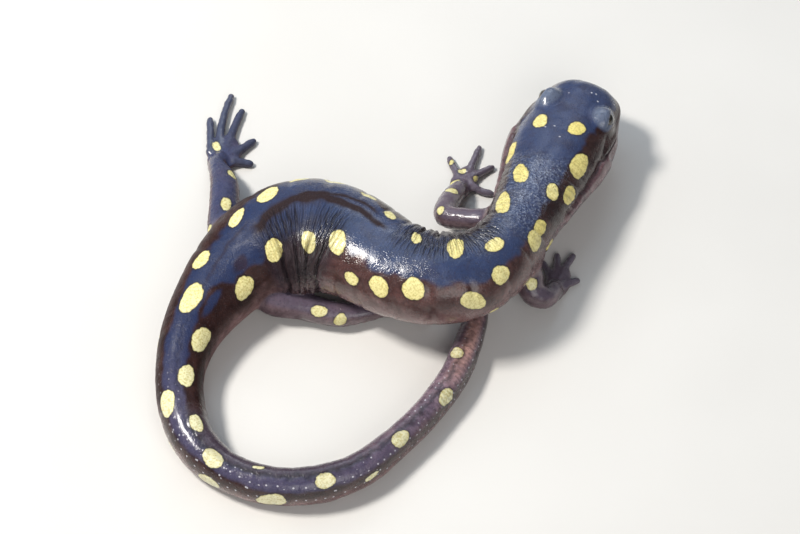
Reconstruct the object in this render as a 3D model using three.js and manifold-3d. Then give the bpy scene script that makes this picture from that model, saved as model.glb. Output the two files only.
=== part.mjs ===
// Spotted salamander, life size, in one still pose: the body lies in an S, the
// tail swings round and its tip passes under the raised chest.
// Millimetres, +Z up, everything that touches the floor does so at z = 0.
import * as THREE from 'three';
import { mergeVertices } from 'three/addons/utils/BufferGeometryUtils.js';
import Module from 'manifold-3d';

const wasm = await Module();
wasm.setup();
const { Manifold, Mesh: SolidMesh } = wasm;

// ------------------------------------------------------------ driving sizes
const GAP = 0.3;                    // free space between touching pieces
const ORIGIN = { x: -0.9, y: -4.6 }; // middle of the bounding box in plan
const BODY_SIDES = 20;              // facets round the trunk and tail
const HEAD_SIDES = 28;
const LIMB_SIDES = 12;
const TOE_SIDES = 7;
const RING_STEP = 2.6;              // spacing of the sections along the body

// Course of the backbone in plan, from the snout to the tip of the tail.
const COURSE = [
  ['snout', 31.95, 30.25], ['brow', 28.55, 23.7], ['jaw', 25.5, 17.25],
  ['nape', 23.4, 11.7], ['neck', 21.2, 6.3], ['shoulder', 17.1, -2.4],
  ['chest', 12.8, -8.1], ['ribs_a', 8.0, -9.9], ['ribs_b', 2.8, -9.3],
  ['waist_a', -2.6, -6.2], ['waist_b', -7.7, -2.1], ['belly_a', -12.9, 0.2],
  ['belly_b', -18.6, 0.0], ['hip', -24.2, -2.8], ['vent', -29.1, -8.9],
  ['tail_a', -32.1, -14.8], ['tail_b', -33.6, -20.9], ['tail_c', -33.3, -27.2],
  ['tail_d', -31.0, -34.4], ['tail_e', -26.0, -39.2], ['tail_f', -19.9, -41.6],
  ['tail_g', -13.3, -41.7], ['tail_h', -6.9, -39.7], ['tail_i', -2.1, -35.6],
  ['tail_j', 2.4, -31.0], ['tail_k', 6.2, -25.8], ['tail_l', 8.7, -21.4],
  ['tail_m', 10.2, -17.4], ['tail_n', 11.6, -12.5], ['tip', 13.4, -4.2],
];

// Girth by distance from the snout: half width, top, widest level, underside.
const GIRTH = [
  [0.0, 1.5, 9.0, 7.9, 7.0], [0.5, 3.7, 10.2, 7.7, 6.15], [1.6, 5.3, 11.1, 7.5, 5.5],
  [3.4, 6.4, 11.8, 7.2, 5.0], [5.5, 7.15, 12.1, 7.0, 4.8], [8.0, 8.0, 12.5, 6.9, 4.5],
  [11.0, 8.45, 13.0, 6.8, 4.3], [14.5, 8.6, 13.5, 6.9, 4.2], [18.0, 8.15, 13.8, 7.3, 4.2],
  [21.5, 7.25, 14.1, 8.0, 4.4], [26.0, 6.35, 14.6, 9.0, 4.7], [30.5, 5.7, 14.9, 9.6, 5.0],
  [35.5, 5.6, 15.3, 9.9, 5.1], [43.5, 6.6, 16.6, 10.8, 5.4], [49.0, 7.3, 17.2, 11.0, 5.2],
  [54.5, 7.6, 16.9, 10.5, 4.5], [61.0, 8.05, 16.4, 9.7, 3.3], [67.5, 8.85, 16.2, 9.0, 2.0],
  [73.5, 9.5, 15.8, 8.3, 1.0], [79.5, 8.7, 14.3, 7.4, 0.4], [85.5, 7.2, 12.1, 6.2, 0.05],
  [93.0, 5.6, 10.1, 5.0, -0.2], [99.5, 4.5, 8.9, 4.4, -0.2], [106.0, 3.7, 7.6, 3.8, -0.2],
  [112.5, 3.5, 7.3, 3.6, -0.2], [119.5, 3.2, 6.8, 3.4, -0.2], [127.0, 2.75, 6.2, 3.1, -0.2],
  [140.0, 2.6, 6.2, 3.1, -0.2], [146.5, 2.5, 6.0, 3.0, -0.2], [153.0, 2.3, 5.5, 2.8, -0.2],
  [160.0, 2.2, 5.2, 2.6, -0.2], [166.0, 2.25, 5.2, 2.6, -0.15], [175.0, 2.2, 4.6, 2.3, -0.15],
  [180.0, 1.85, 3.6, 1.8, -0.12], [184.0, 1.35, 2.5, 1.25, -0.1], [187.5, 0.7, 1.6, 0.75, 0.1],
];

// Cuts across the body, as distances from the snout.
const CUT = { nape: 20.5, neck: 32.0, mid: 58.0, vent: 93.0, t1: 108.0, t2: 125.0, t3: 144.0, t4: 164.0 };

const EYE = { along: 7.5, side: 4.8, z: 10.9, r: 1.6, socket: 1.9, lid: 2.15, slit: 1.9 };

// Limbs: centre line x, y, z and half width, half height, from inside the body out.
const LIMBS = {
  left_front: {
    line: [[19.6, 0.6, 8.6, 2.6, 2.6], [14.6, 3.6, 7.6, 1.95, 1.95], [10.6, 4.6, 6.6, 1.8, 1.8],
      [7.4, 6.2, 5.4, 1.85, 1.85], [7.7, 9.6, 3.9, 1.85, 1.75], [9.3, 13.6, 2.1, 1.65, 1.3]],
    elbow: 0.56,
    sole: [[9.5, 14.2, 1.4, 1.0], [10.3, 16.3, 2.05, 0.95], [11.0, 18.0, 1.65, 0.85]],
    toes: [[9.7, 17.6, 8.1, 21.9, 0.1], [11.3, 18.4, 13.3, 24.2, 0], [12.2, 17.6, 15.6, 19.9, 0.1], [11.8, 15.6, 15.4, 14.2, -0.3]],
  },
  right_front: {
    line: [[18.6, -2.2, 8.6, 2.6, 2.6], [20.0, -5.6, 6.0, 2.25, 2.2], [20.8, -7.7, 4.1, 2.1, 2.0],
      [22.7, -7.9, 3.0, 1.9, 1.7], [24.2, -6.0, 1.9, 1.5, 1.3]],
    elbow: 0.6,
    sole: [[24.3, -5.7, 1.4, 1.0], [25.0, -3.7, 2.0, 0.95], [25.4, -2.2, 1.8, 0.85]],
    toes: [[25.6, -4.4, 28.6, -2.9, 0.1], [25.6, -2.6, 28.0, 2.2, 0.2], [25.0, -2.2, 25.2, 2.3, 0], [24.2, -2.8, 22.6, 0.9, 0]],
  },
  left_hind: {
    line: [[-23.5, -3.0, 5.6, 3.4, 3.4], [-27.6, 2.6, 5.2, 2.9, 2.7], [-28.2, 9.2, 4.4, 2.5, 2.4],
      [-28.6, 14.4, 3.2, 2.35, 2.1], [-30.1, 19.2, 1.8, 1.55, 1.3]],
    elbow: 0.53,
    sole: [[-30.1, 19.6, 1.6, 1.05], [-29.2, 21.9, 2.6, 1.0], [-28.9, 23.9, 2.2, 0.85]],
    toes: [[-31.3, 22.6, -31.8, 30.2, 0], [-29.9, 23.2, -28.3, 35.2, 0.6], [-28.5, 23.4, -26.4, 31.9, 0.3],
      [-27.4, 22.2, -24.0, 25.5, 0], [-27.3, 20.6, -24.2, 20.3, 0.1]],
  },
  right_hind: {
    line: [[-22.5, -3.6, 4.8, 3.2, 3.2], [-20.2, -8.2, 3.4, 2.7, 2.6], [-15.4, -9.2, 2.6, 2.3, 2.2],
      [-9.8, -10.5, 2.2, 2.05, 2.0], [-5.6, -10.0, 1.9, 1.7, 1.6], [-2.0, -8.9, 1.6, 1.4, 1.2]],
    elbow: 0.62,
    sole: [[-1.6, -8.7, 1.4, 1.0], [0.8, -8.0, 2.2, 0.95], [2.6, -7.4, 2.0, 0.85]],
    toes: [[1.0, -9.4, 4.6, -10.6, 0], [2.3, -8.5, 7.8, -8.8, -0.3], [2.8, -7.4, 8.6, -5.6, 0.2], [2.0, -6.4, 5.6, -2.8, 0.2], [0.4, -6.2, 1.4, -2.6, 0]],
  },
};

// ------------------------------------------------------------------ helpers
// Cubic through rows of [u, ...values], with slopes from the neighbours.
function curve(rows) {
  const slope = rows.map((_, i) => {
    const a = rows[Math.max(i - 1, 0)], b = rows[Math.min(i + 1, rows.length - 1)];
    return a.map((v, k) => (b[k] - v) / (b[0] - a[0]));
  });
  return (u) => {
    let i = 0;
    while (i < rows.length - 2 && u > rows[i + 1][0]) i++;
    const p = rows[i], q = rows[i + 1], h = q[0] - p[0];
    const t = Math.min(Math.max((u - p[0]) / h, 0), 1), t2 = t * t, t3 = t2 * t;
    return p.map((v, k) => (2 * t3 - 3 * t2 + 1) * v + (t3 - 2 * t2 + t) * h * slope[i][k]
      + (3 * t2 - 2 * t3) * q[k] + (t3 - t2) * h * slope[i + 1][k]).slice(1);
  };
}

function chordRows(points) {
  let u = 0;
  return points.map((p, i) => {
    if (i) u += Math.hypot(...p.slice(0, 3).map((v, k) => v - points[i - 1][k]));
    return [u, ...p];
  });
}

// Closed solid from rings of equal count, with a fan on each end.
function skinRings(rings, startTip, endTip) {
  const n = rings[0].length, pos = [], idx = [];
  rings.forEach((r) => r.forEach((p) => pos.push(...p)));
  const mean = (r) => [0, 1, 2].map((k) => r.reduce((s, p) => s + p[k], 0) / n);
  const a = pos.length / 3; pos.push(...(startTip || mean(rings[0])));
  const b = a + 1; pos.push(...(endTip || mean(rings[rings.length - 1])));
  for (let j = 0; j < n; j++) {
    const k = (j + 1) % n;
    for (let i = 0; i < rings.length - 1; i++) {
      const p = i * n + j, q = i * n + k, r = p + n, s = q + n;
      idx.push(p, q, s, p, s, r);
    }
    idx.push(a, k, j);
    const last = (rings.length - 1) * n;
    idx.push(b, last + j, last + k);
  }
  return toSolid(pos, idx);
}

function toSolid(pos, idx) {
  let g = new THREE.BufferGeometry();
  g.setAttribute('position', new THREE.BufferAttribute(new Float32Array(pos), 3));
  g.setIndex(idx);
  g = mergeVertices(g, 1e-4);
  const tri = new Uint32Array(g.index.array);
  const solid = new Manifold(new SolidMesh({ numProp: 3, vertProperties: g.attributes.position.array, triVerts: tri }));
  if (solid.volume() > 0) return solid;
  for (let i = 0; i < tri.length; i += 3) [tri[i + 1], tri[i + 2]] = [tri[i + 2], tri[i + 1]];
  return new Manifold(new SolidMesh({ numProp: 3, vertProperties: g.attributes.position.array, triVerts: tri }));
}

function fromGeometry(geometry) {
  const g = geometry.clone();
  g.deleteAttribute('normal'); g.deleteAttribute('uv');
  const m = mergeVertices(g, 1e-4);
  return toSolid(Array.from(m.attributes.position.array), Array.from(m.index.array));
}

const largest = (solid) => solid.decompose().sort((p, q) => q.volume() - p.volume())[0];

// --------------------------------------------------------------------- body
const courseRows = chordRows(COURSE.map((c) => c.slice(1).concat(0)));
const course = curve(courseRows);
const table = [];                       // [distance from the snout, course parameter]
{
  const end = courseRows[courseRows.length - 1][0], step = 0.25;
  let last = course(0), s = 0;
  for (let u = 0; u <= end + 1e-6; u += step) {
    const p = course(Math.min(u, end));
    s += Math.hypot(p[0] - last[0], p[1] - last[1]);
    table.push([s, Math.min(u, end)]);
    last = p;
  }
}
const LENGTH = table[table.length - 1][0];
const girth = curve(GIRTH);

function along(s) {                      // place and heading (towards the tail)
  let i = 1;
  while (i < table.length - 1 && table[i][0] < s) i++;
  const [s0, u0] = table[i - 1], [s1, u1] = table[i];
  const u = u0 + (u1 - u0) * (s - s0) / (s1 - s0);
  const p = course(u), a = course(u - 0.4), b = course(u + 0.4);
  const n = Math.hypot(b[0] - a[0], b[1] - a[1]);
  return { x: p[0], y: p[1], tx: (b[0] - a[0]) / n, ty: (b[1] - a[1]) / n };
}

// One upright section: rounder above, flatter below, never under the floor. The
// head is broad at the jaw and slopes in to a flat crown.
function bodyRing(s, sides, grow = 0) {
  const { x, y, tx, ty } = along(s);
  const [half, top, mid, low] = girth(s);
  const head = 1 - THREE.MathUtils.smoothstep(s, 17, 28);
  const across = 2 / (2.15 + 0.25 * head), upward = 2 / (2.15 - 0.7 * head), under = 2 / 2.3;
  const ring = [];
  for (let j = 0; j < sides; j++) {
    const a = (j + 0.5) * 2 * Math.PI / sides, c = Math.cos(a), d = Math.sin(a), up = d > 0;
    const w = Math.sign(c) * Math.abs(c) ** (up ? across : under) * (half + grow);
    const h = Math.sign(d) * Math.abs(d) ** (up ? upward : under) * ((up ? top - mid : mid - low) + grow);
    ring.push([x - ty * w, y + tx * w, Math.max(mid + h, grow ? -1 : 0)]);
  }
  return ring;
}

function bodyLength(s0, s1, { sides = BODY_SIDES, step = RING_STEP, grow = 0, nose = false, tip = false } = {}) {
  const stops = nose ? [0.12, 0.5, 1.2, 2.3, 3.8, 5.6] : [s0];
  const from = stops[stops.length - 1], n = Math.max(2, Math.round((s1 - from) / step));
  for (let i = 1; i <= n; i++) stops.push(from + (s1 - from) * i / n);
  const rings = stops.map((s) => bodyRing(s, sides, grow));
  const a = along(0), e = along(s1);
  return skinRings(rings, nose ? [a.x - a.tx * grow, a.y - a.ty * grow, 8.3] : null,
    tip ? [e.x + e.tx * (0.5 + grow), e.y + e.ty * (0.5 + grow), 0.7] : null);
}

const END = LENGTH - 0.6;
const g2 = GAP / 2;
const fatBody = bodyLength(14, 122, { grow: GAP });
const pieces = {};

// Head, with a low mound round each eye and a socket in it.
{
  let head = bodyLength(0, CUT.nape - g2, { sides: HEAD_SIDES, step: 1.9, nose: true });
  const at = along(EYE.along);
  const turn = Math.atan2(at.ty, at.tx);
  for (const [name, sign] of [['left', 1], ['right', -1]]) {
    const x = at.x + sign * at.ty * EYE.side, y = at.y - sign * at.tx * EYE.side;
    const place = (g) => fromGeometry(g.rotateZ(turn).translate(x, y, EYE.z));
    const ball = (r, long = 1) => place(new THREE.SphereGeometry(r, 14, 10).rotateX(Math.PI / 2).scale(long, 1, 1));
    const slit = place(new THREE.BoxGeometry(3.7, 4, EYE.slit).translate(0, -sign * 2.5, -0.1));
    head = head.add(ball(EYE.lid, 1.08)).subtract(ball(EYE.socket)).subtract(slit);
    pieces[`eye_${name}`] = ball(EYE.r);
  }
  pieces.head = largest(head);
}

const lengths = [
  ['neck', CUT.nape, CUT.neck], ['trunk_front', CUT.neck, CUT.mid], ['trunk_rear', CUT.mid, CUT.vent],
  ['tail_1', CUT.vent, CUT.t1], ['tail_2', CUT.t1, CUT.t2], ['tail_3', CUT.t2, CUT.t3], ['tail_4', CUT.t3, CUT.t4],
];
for (const [name, a, b] of lengths) pieces[name] = bodyLength(a + g2, b - g2);
pieces.tail_5 = bodyLength(CUT.t4 + g2, END, { tip: true, step: 2.2 });

// -------------------------------------------------------------------- limbs
function tube(path, t0, t1, count, sides, grow = 0, floor = 0) {
  const rows = chordRows(path), end = rows[rows.length - 1][0], f = curve(rows), rings = [];
  for (let i = 0; i <= count; i++) {
    const u = end * (t0 + (t1 - t0) * i / count);
    const p = f(u), a = f(Math.max(u - 0.3, 0)), b = f(Math.min(u + 0.3, end));
    const t = new THREE.Vector3(b[0] - a[0], b[1] - a[1], b[2] - a[2]).normalize();
    const side = new THREE.Vector3(-t.y, t.x, 0).normalize();
    const up = new THREE.Vector3().crossVectors(t, side);
    rings.push(Array.from({ length: sides }, (_, j) => {
      const q = (j + 0.5) * 2 * Math.PI / sides, c = Math.cos(q) * (p[3] + grow), d = Math.sin(q) * (p[4] + grow);
      return [p[0] + side.x * c + up.x * d, p[1] + side.y * c + up.y * d, Math.max(p[2] + side.z * c + up.z * d, floor)];
    }));
  }
  return skinRings(rings, null, null);
}

// A toe from x, y to x, y: slim, bowed sideways, its underside flat on the floor.
function toe([x0, y0, x1, y1, bow], r0, r1) {
  const n = Math.hypot(x1 - x0, y1 - y0), ex = (y0 - y1) / n, ey = (x1 - x0) / n;
  const at = (k, r, z) => {
    const b = 4 * bow * k * (1 - k);
    return [x0 + (x1 - x0) * k + ex * b, y0 + (y1 - y0) * k + ey * b, z, r, r];
  };
  const path = [at(0, r0, 0.78), at(0.4, (r0 + r1) / 2, 0.7), at(0.9, r1, 0.6), at(1, r1 * 0.75, 0.52)];
  return tube(path, 0, 1, 4, TOE_SIDES);
}

for (const [name, limb] of Object.entries(LIMBS)) {
  const arm = name.endsWith('front');
  const [upperName, lowerName, footName] = arm ? ['upper_arm', 'forearm', 'hand'] : ['thigh', 'shank', 'foot'];
  const size = chordRows(limb.line).pop()[0], h = g2 / size;
  const upper = tube(limb.line, 0, limb.elbow - h, 8, LIMB_SIDES);
  const lower = tube(limb.line, limb.elbow + h, 1, 6, LIMB_SIDES);
  const last = limb.line[limb.line.length - 1];
  const wristCut = tube(limb.line, limb.elbow + h, 1, 6, LIMB_SIDES, GAP, -1);
  const solePath = limb.sole.map(([x, y, w, t]) => [x, y, t * 0.8, w, t]);
  let foot = tube(solePath, 0, 1, 4, LIMB_SIDES);
  limb.toes.forEach((t) => { foot = foot.add(toe(t, arm ? 0.76 : 0.84, arm ? 0.6 : 0.68)); });
  foot = foot.subtract(wristCut).subtract(fatBody);
  pieces[`${upperName}_${name.split('_')[0]}`] = largest(upper.subtract(wristCut).subtract(fatBody));
  pieces[`${lowerName}_${name.split('_')[0]}`] = largest(lower.subtract(fatBody));
  pieces[`${footName}_${name.split('_')[0]}`] = largest(foot);
}

// ------------------------------------------------------------------- object
const skin = new THREE.MeshStandardMaterial({ color: 0x23232c, roughness: 0.35, metalness: 0 });
const limbSkin = new THREE.MeshStandardMaterial({ color: 0x34323c, roughness: 0.4, metalness: 0 });
const eye = new THREE.MeshStandardMaterial({ color: 0x050506, roughness: 0.08, metalness: 0 });

const salamander = new THREE.Group();
let total = 0;
for (const [name, solid] of Object.entries(pieces)) {
  const mesh = solid.getMesh();
  const g = new THREE.BufferGeometry();
  g.setAttribute('position', new THREE.BufferAttribute(new Float32Array(mesh.vertProperties), 3));
  g.setIndex(Array.from(mesh.triVerts));
  g.computeVertexNormals();
  total += mesh.triVerts.length / 3;
  const material = name.startsWith('eye') ? eye : /arm|hand|thigh|shank|foot/.test(name) ? limbSkin : skin;
  const node = new THREE.Mesh(g, material);
  node.name = name;
  node.position.set(-ORIGIN.x, -ORIGIN.y, 0);
  salamander.add(node);
}
salamander.userData = { total, length: LENGTH };

export default salamander;
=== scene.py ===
import bpy
import math
import numpy as np
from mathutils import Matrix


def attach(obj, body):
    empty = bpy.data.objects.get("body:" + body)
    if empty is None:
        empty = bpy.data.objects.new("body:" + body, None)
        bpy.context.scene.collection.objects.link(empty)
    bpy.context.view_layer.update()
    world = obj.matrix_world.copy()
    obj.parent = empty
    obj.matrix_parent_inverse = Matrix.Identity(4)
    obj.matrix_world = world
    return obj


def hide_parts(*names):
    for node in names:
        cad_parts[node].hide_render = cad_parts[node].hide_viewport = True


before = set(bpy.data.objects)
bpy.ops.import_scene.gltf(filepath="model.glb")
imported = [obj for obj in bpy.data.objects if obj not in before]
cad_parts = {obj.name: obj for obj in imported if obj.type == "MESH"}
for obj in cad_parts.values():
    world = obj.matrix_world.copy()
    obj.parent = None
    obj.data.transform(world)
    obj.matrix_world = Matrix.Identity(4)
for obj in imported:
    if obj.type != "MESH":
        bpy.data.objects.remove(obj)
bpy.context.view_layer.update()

# A spotted salamander, life size. The skin is made here as one surface from the same
# named sizes as the solids: a smooth distance field of body, limbs, toes and lids is turned
# into a mesh, then folds, wrinkles, lips and lid rims are laid on it along its normals.
GRID = 0.43        # mm between mesh points before refining

# ---------------------------------------------------------------------------
# Sizes of the animal, in millimetres, in the plan frame of its backbone.
# ORIGIN is the middle of the CAD box in that frame.
# ---------------------------------------------------------------------------
ORIGIN = (-0.9, -4.6)

COURSE = [  # the backbone in plan, snout to tail tip
    (31.95, 30.25), (28.55, 23.7), (25.5, 17.25), (23.4, 11.7), (21.2, 6.3), (17.1, -2.4),
    (12.8, -8.1), (8.0, -9.9), (2.8, -9.3), (-2.6, -6.2), (-7.7, -2.1), (-12.9, 0.2),
    (-18.6, 0.0), (-24.2, -2.8), (-29.1, -8.9), (-32.1, -14.8), (-33.6, -20.9),
    (-33.3, -27.2), (-31.0, -34.4), (-26.0, -39.2), (-19.9, -41.6), (-13.3, -41.7),
    (-6.9, -39.7), (-2.1, -35.6), (2.4, -31.0), (6.2, -25.8), (8.7, -21.4),
    (10.2, -17.4), (11.6, -12.5), (13.4, -4.2),
]

GIRTH = [  # distance from the snout: half width, top, widest level, underside
    (0.0, 6.5, 12.2, 7.6, 5.2), (3.0, 6.6, 12.1, 7.3, 5.0), (6.0, 7.25, 12.15, 7.0, 4.75),
    (8.0, 8.0, 12.4, 6.9, 4.5), (11.0, 8.45, 12.9, 6.8, 4.3), (14.5, 8.6, 13.4, 6.9, 4.2),
    (18.0, 8.15, 13.8, 7.3, 4.2), (21.5, 7.25, 14.1, 8.0, 4.4), (26.0, 6.35, 14.6, 9.0, 4.7),
    (30.5, 5.7, 14.9, 9.6, 5.0), (35.5, 5.6, 15.3, 9.9, 5.1), (43.5, 6.6, 16.6, 10.8, 5.4),
    (49.0, 7.3, 17.2, 11.0, 5.2), (54.5, 7.6, 16.9, 10.5, 4.5), (61.0, 8.05, 16.4, 9.7, 3.3),
    (67.5, 8.85, 16.2, 9.0, 2.0), (73.5, 9.5, 15.8, 8.3, 1.0), (79.5, 8.7, 14.3, 7.4, 0.4),
    (85.5, 7.2, 12.1, 6.2, 0.05), (93.0, 5.6, 10.1, 5.0, -0.2), (99.5, 4.5, 8.9, 4.4, -0.2),
    (106.0, 3.7, 7.6, 3.8, -0.2), (112.5, 3.5, 7.3, 3.6, -0.2), (119.5, 3.2, 6.8, 3.4, -0.2),
    (127.0, 2.75, 6.2, 3.1, -0.2), (140.0, 2.6, 6.2, 3.1, -0.2), (146.5, 2.5, 6.0, 3.0, -0.2),
    (153.0, 2.3, 5.5, 2.8, -0.2), (160.0, 2.2, 5.2, 2.6, -0.2), (166.0, 2.25, 5.2, 2.6, -0.15),
    (175.0, 2.2, 4.6, 2.3, -0.15), (180.0, 1.85, 3.6, 1.8, -0.12), (184.0, 1.35, 2.5, 1.25, -0.1),
    (187.5, 0.95, 1.75, 0.85, -0.05), (189.0, 0.8, 1.5, 0.75, 0.0),
]

EYE = dict(along=7.5, side=4.8, z=10.9, r=1.6)

LIMBS = dict(
    left_front=dict(
        line=[(19.6, 0.6, 8.6, 2.6), (14.6, 3.6, 7.6, 1.95), (10.6, 4.6, 6.6, 1.8),
              (7.4, 6.2, 5.4, 1.85), (7.7, 9.6, 3.9, 1.8), (9.3, 13.6, 2.1, 1.5), (9.9, 15.0, 1.3, 1.15)],
        sole=[(9.5, 14.2, 1.4, 0.95), (10.3, 16.3, 2.05, 0.9), (11.0, 18.0, 1.65, 0.8)],
        toes=[(9.7, 17.6, 8.1, 21.9, 0.1), (11.3, 18.4, 13.3, 24.2, 0.0),
              (12.2, 17.6, 15.6, 19.9, 0.1), (11.8, 15.6, 15.4, 14.2, -0.3)], toe_r=(0.74, 0.58)),
    right_front=dict(
        line=[(18.6, -2.2, 8.6, 2.6), (20.0, -5.6, 6.0, 2.25), (20.8, -7.7, 4.1, 2.05),
              (22.7, -7.9, 3.0, 1.8), (24.2, -6.0, 1.9, 1.4), (24.6, -4.8, 1.3, 1.1)],
        sole=[(24.3, -5.7, 1.4, 0.95), (25.0, -3.7, 2.0, 0.9), (25.4, -2.2, 1.8, 0.8)],
        toes=[(25.6, -4.4, 28.6, -2.9, 0.1), (25.6, -2.6, 28.0, 2.2, 0.2),
              (25.0, -2.2, 25.2, 2.3, 0.0), (24.2, -2.8, 22.6, 0.9, 0.0)], toe_r=(0.74, 0.58)),
    left_hind=dict(
        line=[(-23.5, -3.0, 5.6, 3.4), (-27.6, 2.6, 5.2, 2.8), (-28.2, 9.2, 4.4, 2.45),
              (-28.6, 14.4, 3.2, 2.25), (-30.1, 19.2, 1.8, 1.4), (-29.8, 20.6, 1.3, 1.2)],
        sole=[(-30.1, 19.6, 1.6, 1.0), (-29.2, 21.9, 2.6, 0.95), (-28.9, 23.9, 2.2, 0.8)],
        toes=[(-31.3, 22.6, -31.8, 30.2, 0.0), (-29.9, 23.2, -28.3, 35.2, 0.6), (-28.5, 23.4, -26.4, 31.9, 0.3),
              (-27.4, 22.2, -24.0, 25.5, 0.0), (-27.3, 20.6, -24.2, 20.3, 0.1)], toe_r=(0.82, 0.66)),
    right_hind=dict(
        line=[(-22.5, -3.6, 4.8, 3.2), (-20.2, -8.2, 3.4, 2.65), (-15.4, -9.2, 2.6, 2.25),
              (-9.8, -10.5, 2.2, 2.0), (-5.6, -10.0, 1.9, 1.6), (-2.0, -8.9, 1.6, 1.25)],
        sole=[(-1.6, -8.7, 1.4, 0.95), (0.8, -8.0, 2.2, 0.9), (2.6, -7.4, 2.0, 0.8)],
        toes=[(1.0, -9.4, 4.6, -10.6, 0.0), (2.3, -8.5, 7.8, -8.8, -0.3), (2.8, -7.4, 8.6, -5.6, 0.2),
              (2.0, -6.4, 5.6, -2.8, 0.2), (0.4, -6.2, 1.4, -2.6, 0.0)], toe_r=(0.82, 0.66)),
)
LIMB_ORDER = ["left_front", "right_front", "left_hind", "right_hind"]


def hermite(rows, u):
    """Cubic through rows of (u, values...), with slopes from the neighbours."""
    rows = np.asarray(rows, float)
    x, y = rows[:, 0], rows[:, 1:]
    k = np.arange(len(x))
    lo, hi = np.maximum(k - 1, 0), np.minimum(k + 1, len(x) - 1)
    m = (y[hi] - y[lo]) / (x[hi] - x[lo])[:, None]
    u = np.atleast_1d(np.asarray(u, float))
    i = np.clip(np.searchsorted(x, u, side="right") - 1, 0, len(x) - 2)
    h = (x[i + 1] - x[i])[:, None]
    t = np.clip((u - x[i])[:, None] / h, 0, 1)
    t2, t3 = t * t, t * t * t
    return ((2 * t3 - 3 * t2 + 1) * y[i] + (t3 - 2 * t2 + t) * h * m[i]
            + (3 * t2 - 2 * t3) * y[i + 1] + (t3 - t2) * h * m[i + 1])


def with_chords(points, dims=3):
    p = np.asarray(points, float)
    step = np.linalg.norm(np.diff(p[:, :dims], axis=0), axis=1)
    return np.column_stack([np.concatenate([[0], np.cumsum(step)]), p])


def smooth01(e0, e1, x):
    t = np.clip((x - e0) / (e1 - e0), 0, 1)
    return t * t * (3 - 2 * t)


def window(x, a, b, soft):
    """1 between a and b, falling to 0 over soft outside them."""
    return smooth01(a - soft, a, x) * (1 - smooth01(b, b + soft, x))


def smin(a, b, k):
    h = np.clip(0.5 + 0.5 * (b - a) / k, 0, 1)
    return b * (1 - h) + a * h - k * h * (1 - h)


def smax(a, b, k):
    return -smin(-a, -b, k)


class Waves:
    """Smooth seeded noise: a sum of plane waves, about -1 to 1."""

    def __init__(self, seed, size, count=14, squash=(1, 1, 1)):
        r = np.random.default_rng(seed)
        d = r.normal(size=(count, 3))
        d /= np.linalg.norm(d, axis=1)[:, None]
        self.k = d * (2 * np.pi / size) * r.uniform(0.6, 1.5, (count, 1)) * np.array(squash)
        self.p = r.uniform(0, 2 * np.pi, count)

    def __call__(self, q):
        out = np.zeros(len(q))
        for k, p in zip(self.k, self.p):
            out += np.sin(q @ k + p)
        return out / math.sqrt(len(self.p))


# ------------------------------------------------------------ backbone tables
_rows = with_chords(np.column_stack([np.asarray(COURSE, float), np.zeros(len(COURSE))]))
_u = np.arange(0, _rows[-1, 0], 0.1)
_xy = hermite(_rows, _u)[:, :2]
# ease the bends over about 2 mm, with both ends carried straight on so that they stay in place
_pad = 80
_ends = (_xy[0] + (_xy[0] - _xy[10]) / 10 * np.arange(_pad, 0, -1)[:, None],
         _xy[-1] + (_xy[-1] - _xy[-11]) / 10 * np.arange(1, _pad + 1)[:, None])
_long = np.vstack([_ends[0], _xy, _ends[1]])
_g = np.exp(-0.5 * (np.arange(-60, 61) / 21.0) ** 2)
_g /= _g.sum()
_xy = np.column_stack([np.convolve(_long[:, k], _g, "same") for k in (0, 1)])[_pad:-_pad]
_arc = np.concatenate([[0], np.cumsum(np.linalg.norm(np.diff(_xy, axis=0), axis=1))])
END = float(_arc[-1])
TS = np.arange(0, END, 0.1)
TX, TY = np.interp(TS, _arc, _xy[:, 0]), np.interp(TS, _arc, _xy[:, 1])
_gx, _gy = np.gradient(TX, TS), np.gradient(TY, TS)
_w = 9
_ker = np.hanning(_w + 2)[1:-1] / np.hanning(_w + 2)[1:-1].sum()


def _soft(v):
    return np.convolve(np.pad(v, _w // 2, mode="edge"), _ker, "valid")


_gx, _gy = _soft(_gx), _soft(_gy)
_gn = np.hypot(_gx, _gy)
TGX, TGY = _gx / _gn, _gy / _gn
TK = _soft(TGX * np.gradient(TGY, TS) - TGY * np.gradient(TGX, TS))
GT = hermite(GIRTH, TS)
HEAD_AXIS = math.atan2(TGY[75], TGX[75])


def nearest_s(x, y, lo, hi):
    """Distance along the backbone of the nearest point of it, between lo and hi."""
    i0, i1 = int(lo * 10), min(int(hi * 10), len(TS) - 1)
    idx = np.arange(i0, i1, 4)
    best = np.empty(len(x), int)
    for a in range(0, len(x), 40000):
        dx = x[a:a + 40000, None] - TX[idx]
        dy = y[a:a + 40000, None] - TY[idx]
        best[a:a + 40000] = idx[np.argmin(dx * dx + dy * dy, axis=1)]
    return TS[best]


def refine_s(x, y, s, lo, hi, rounds=3):
    """Newton steps to the exact foot point, and the lateral offset there (+ is the animal's right)."""
    for _ in range(rounds):
        c = np.clip(s, lo, hi)
        cx, cy = np.interp(c, TS, TX), np.interp(c, TS, TY)
        tx, ty = np.interp(c, TS, TGX), np.interp(c, TS, TGY)
        k = np.interp(c, TS, TK)
        along = (x - cx) * tx + (y - cy) * ty
        w = -(x - cx) * ty + (y - cy) * tx
        s = c + along / np.clip(1 - k * w, 0.35, 3)
    c = np.clip(s, lo, hi)
    cx, cy = np.interp(c, TS, TX), np.interp(c, TS, TY)
    tx, ty = np.interp(c, TS, TGX), np.interp(c, TS, TGY)
    w = -(x - cx) * ty + (y - cy) * tx
    return np.where(s < lo, lo + (x - cx) * tx + (y - cy) * ty, np.where(s > hi, hi + (x - cx) * tx + (y - cy) * ty, s)), w


NOSE, NOSE_LONG, TAIL_LONG = 6.0, 6.0, 3.0


def section(s):
    g = [np.interp(s, TS, GT[:, i]) for i in range(4)]
    return g


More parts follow.
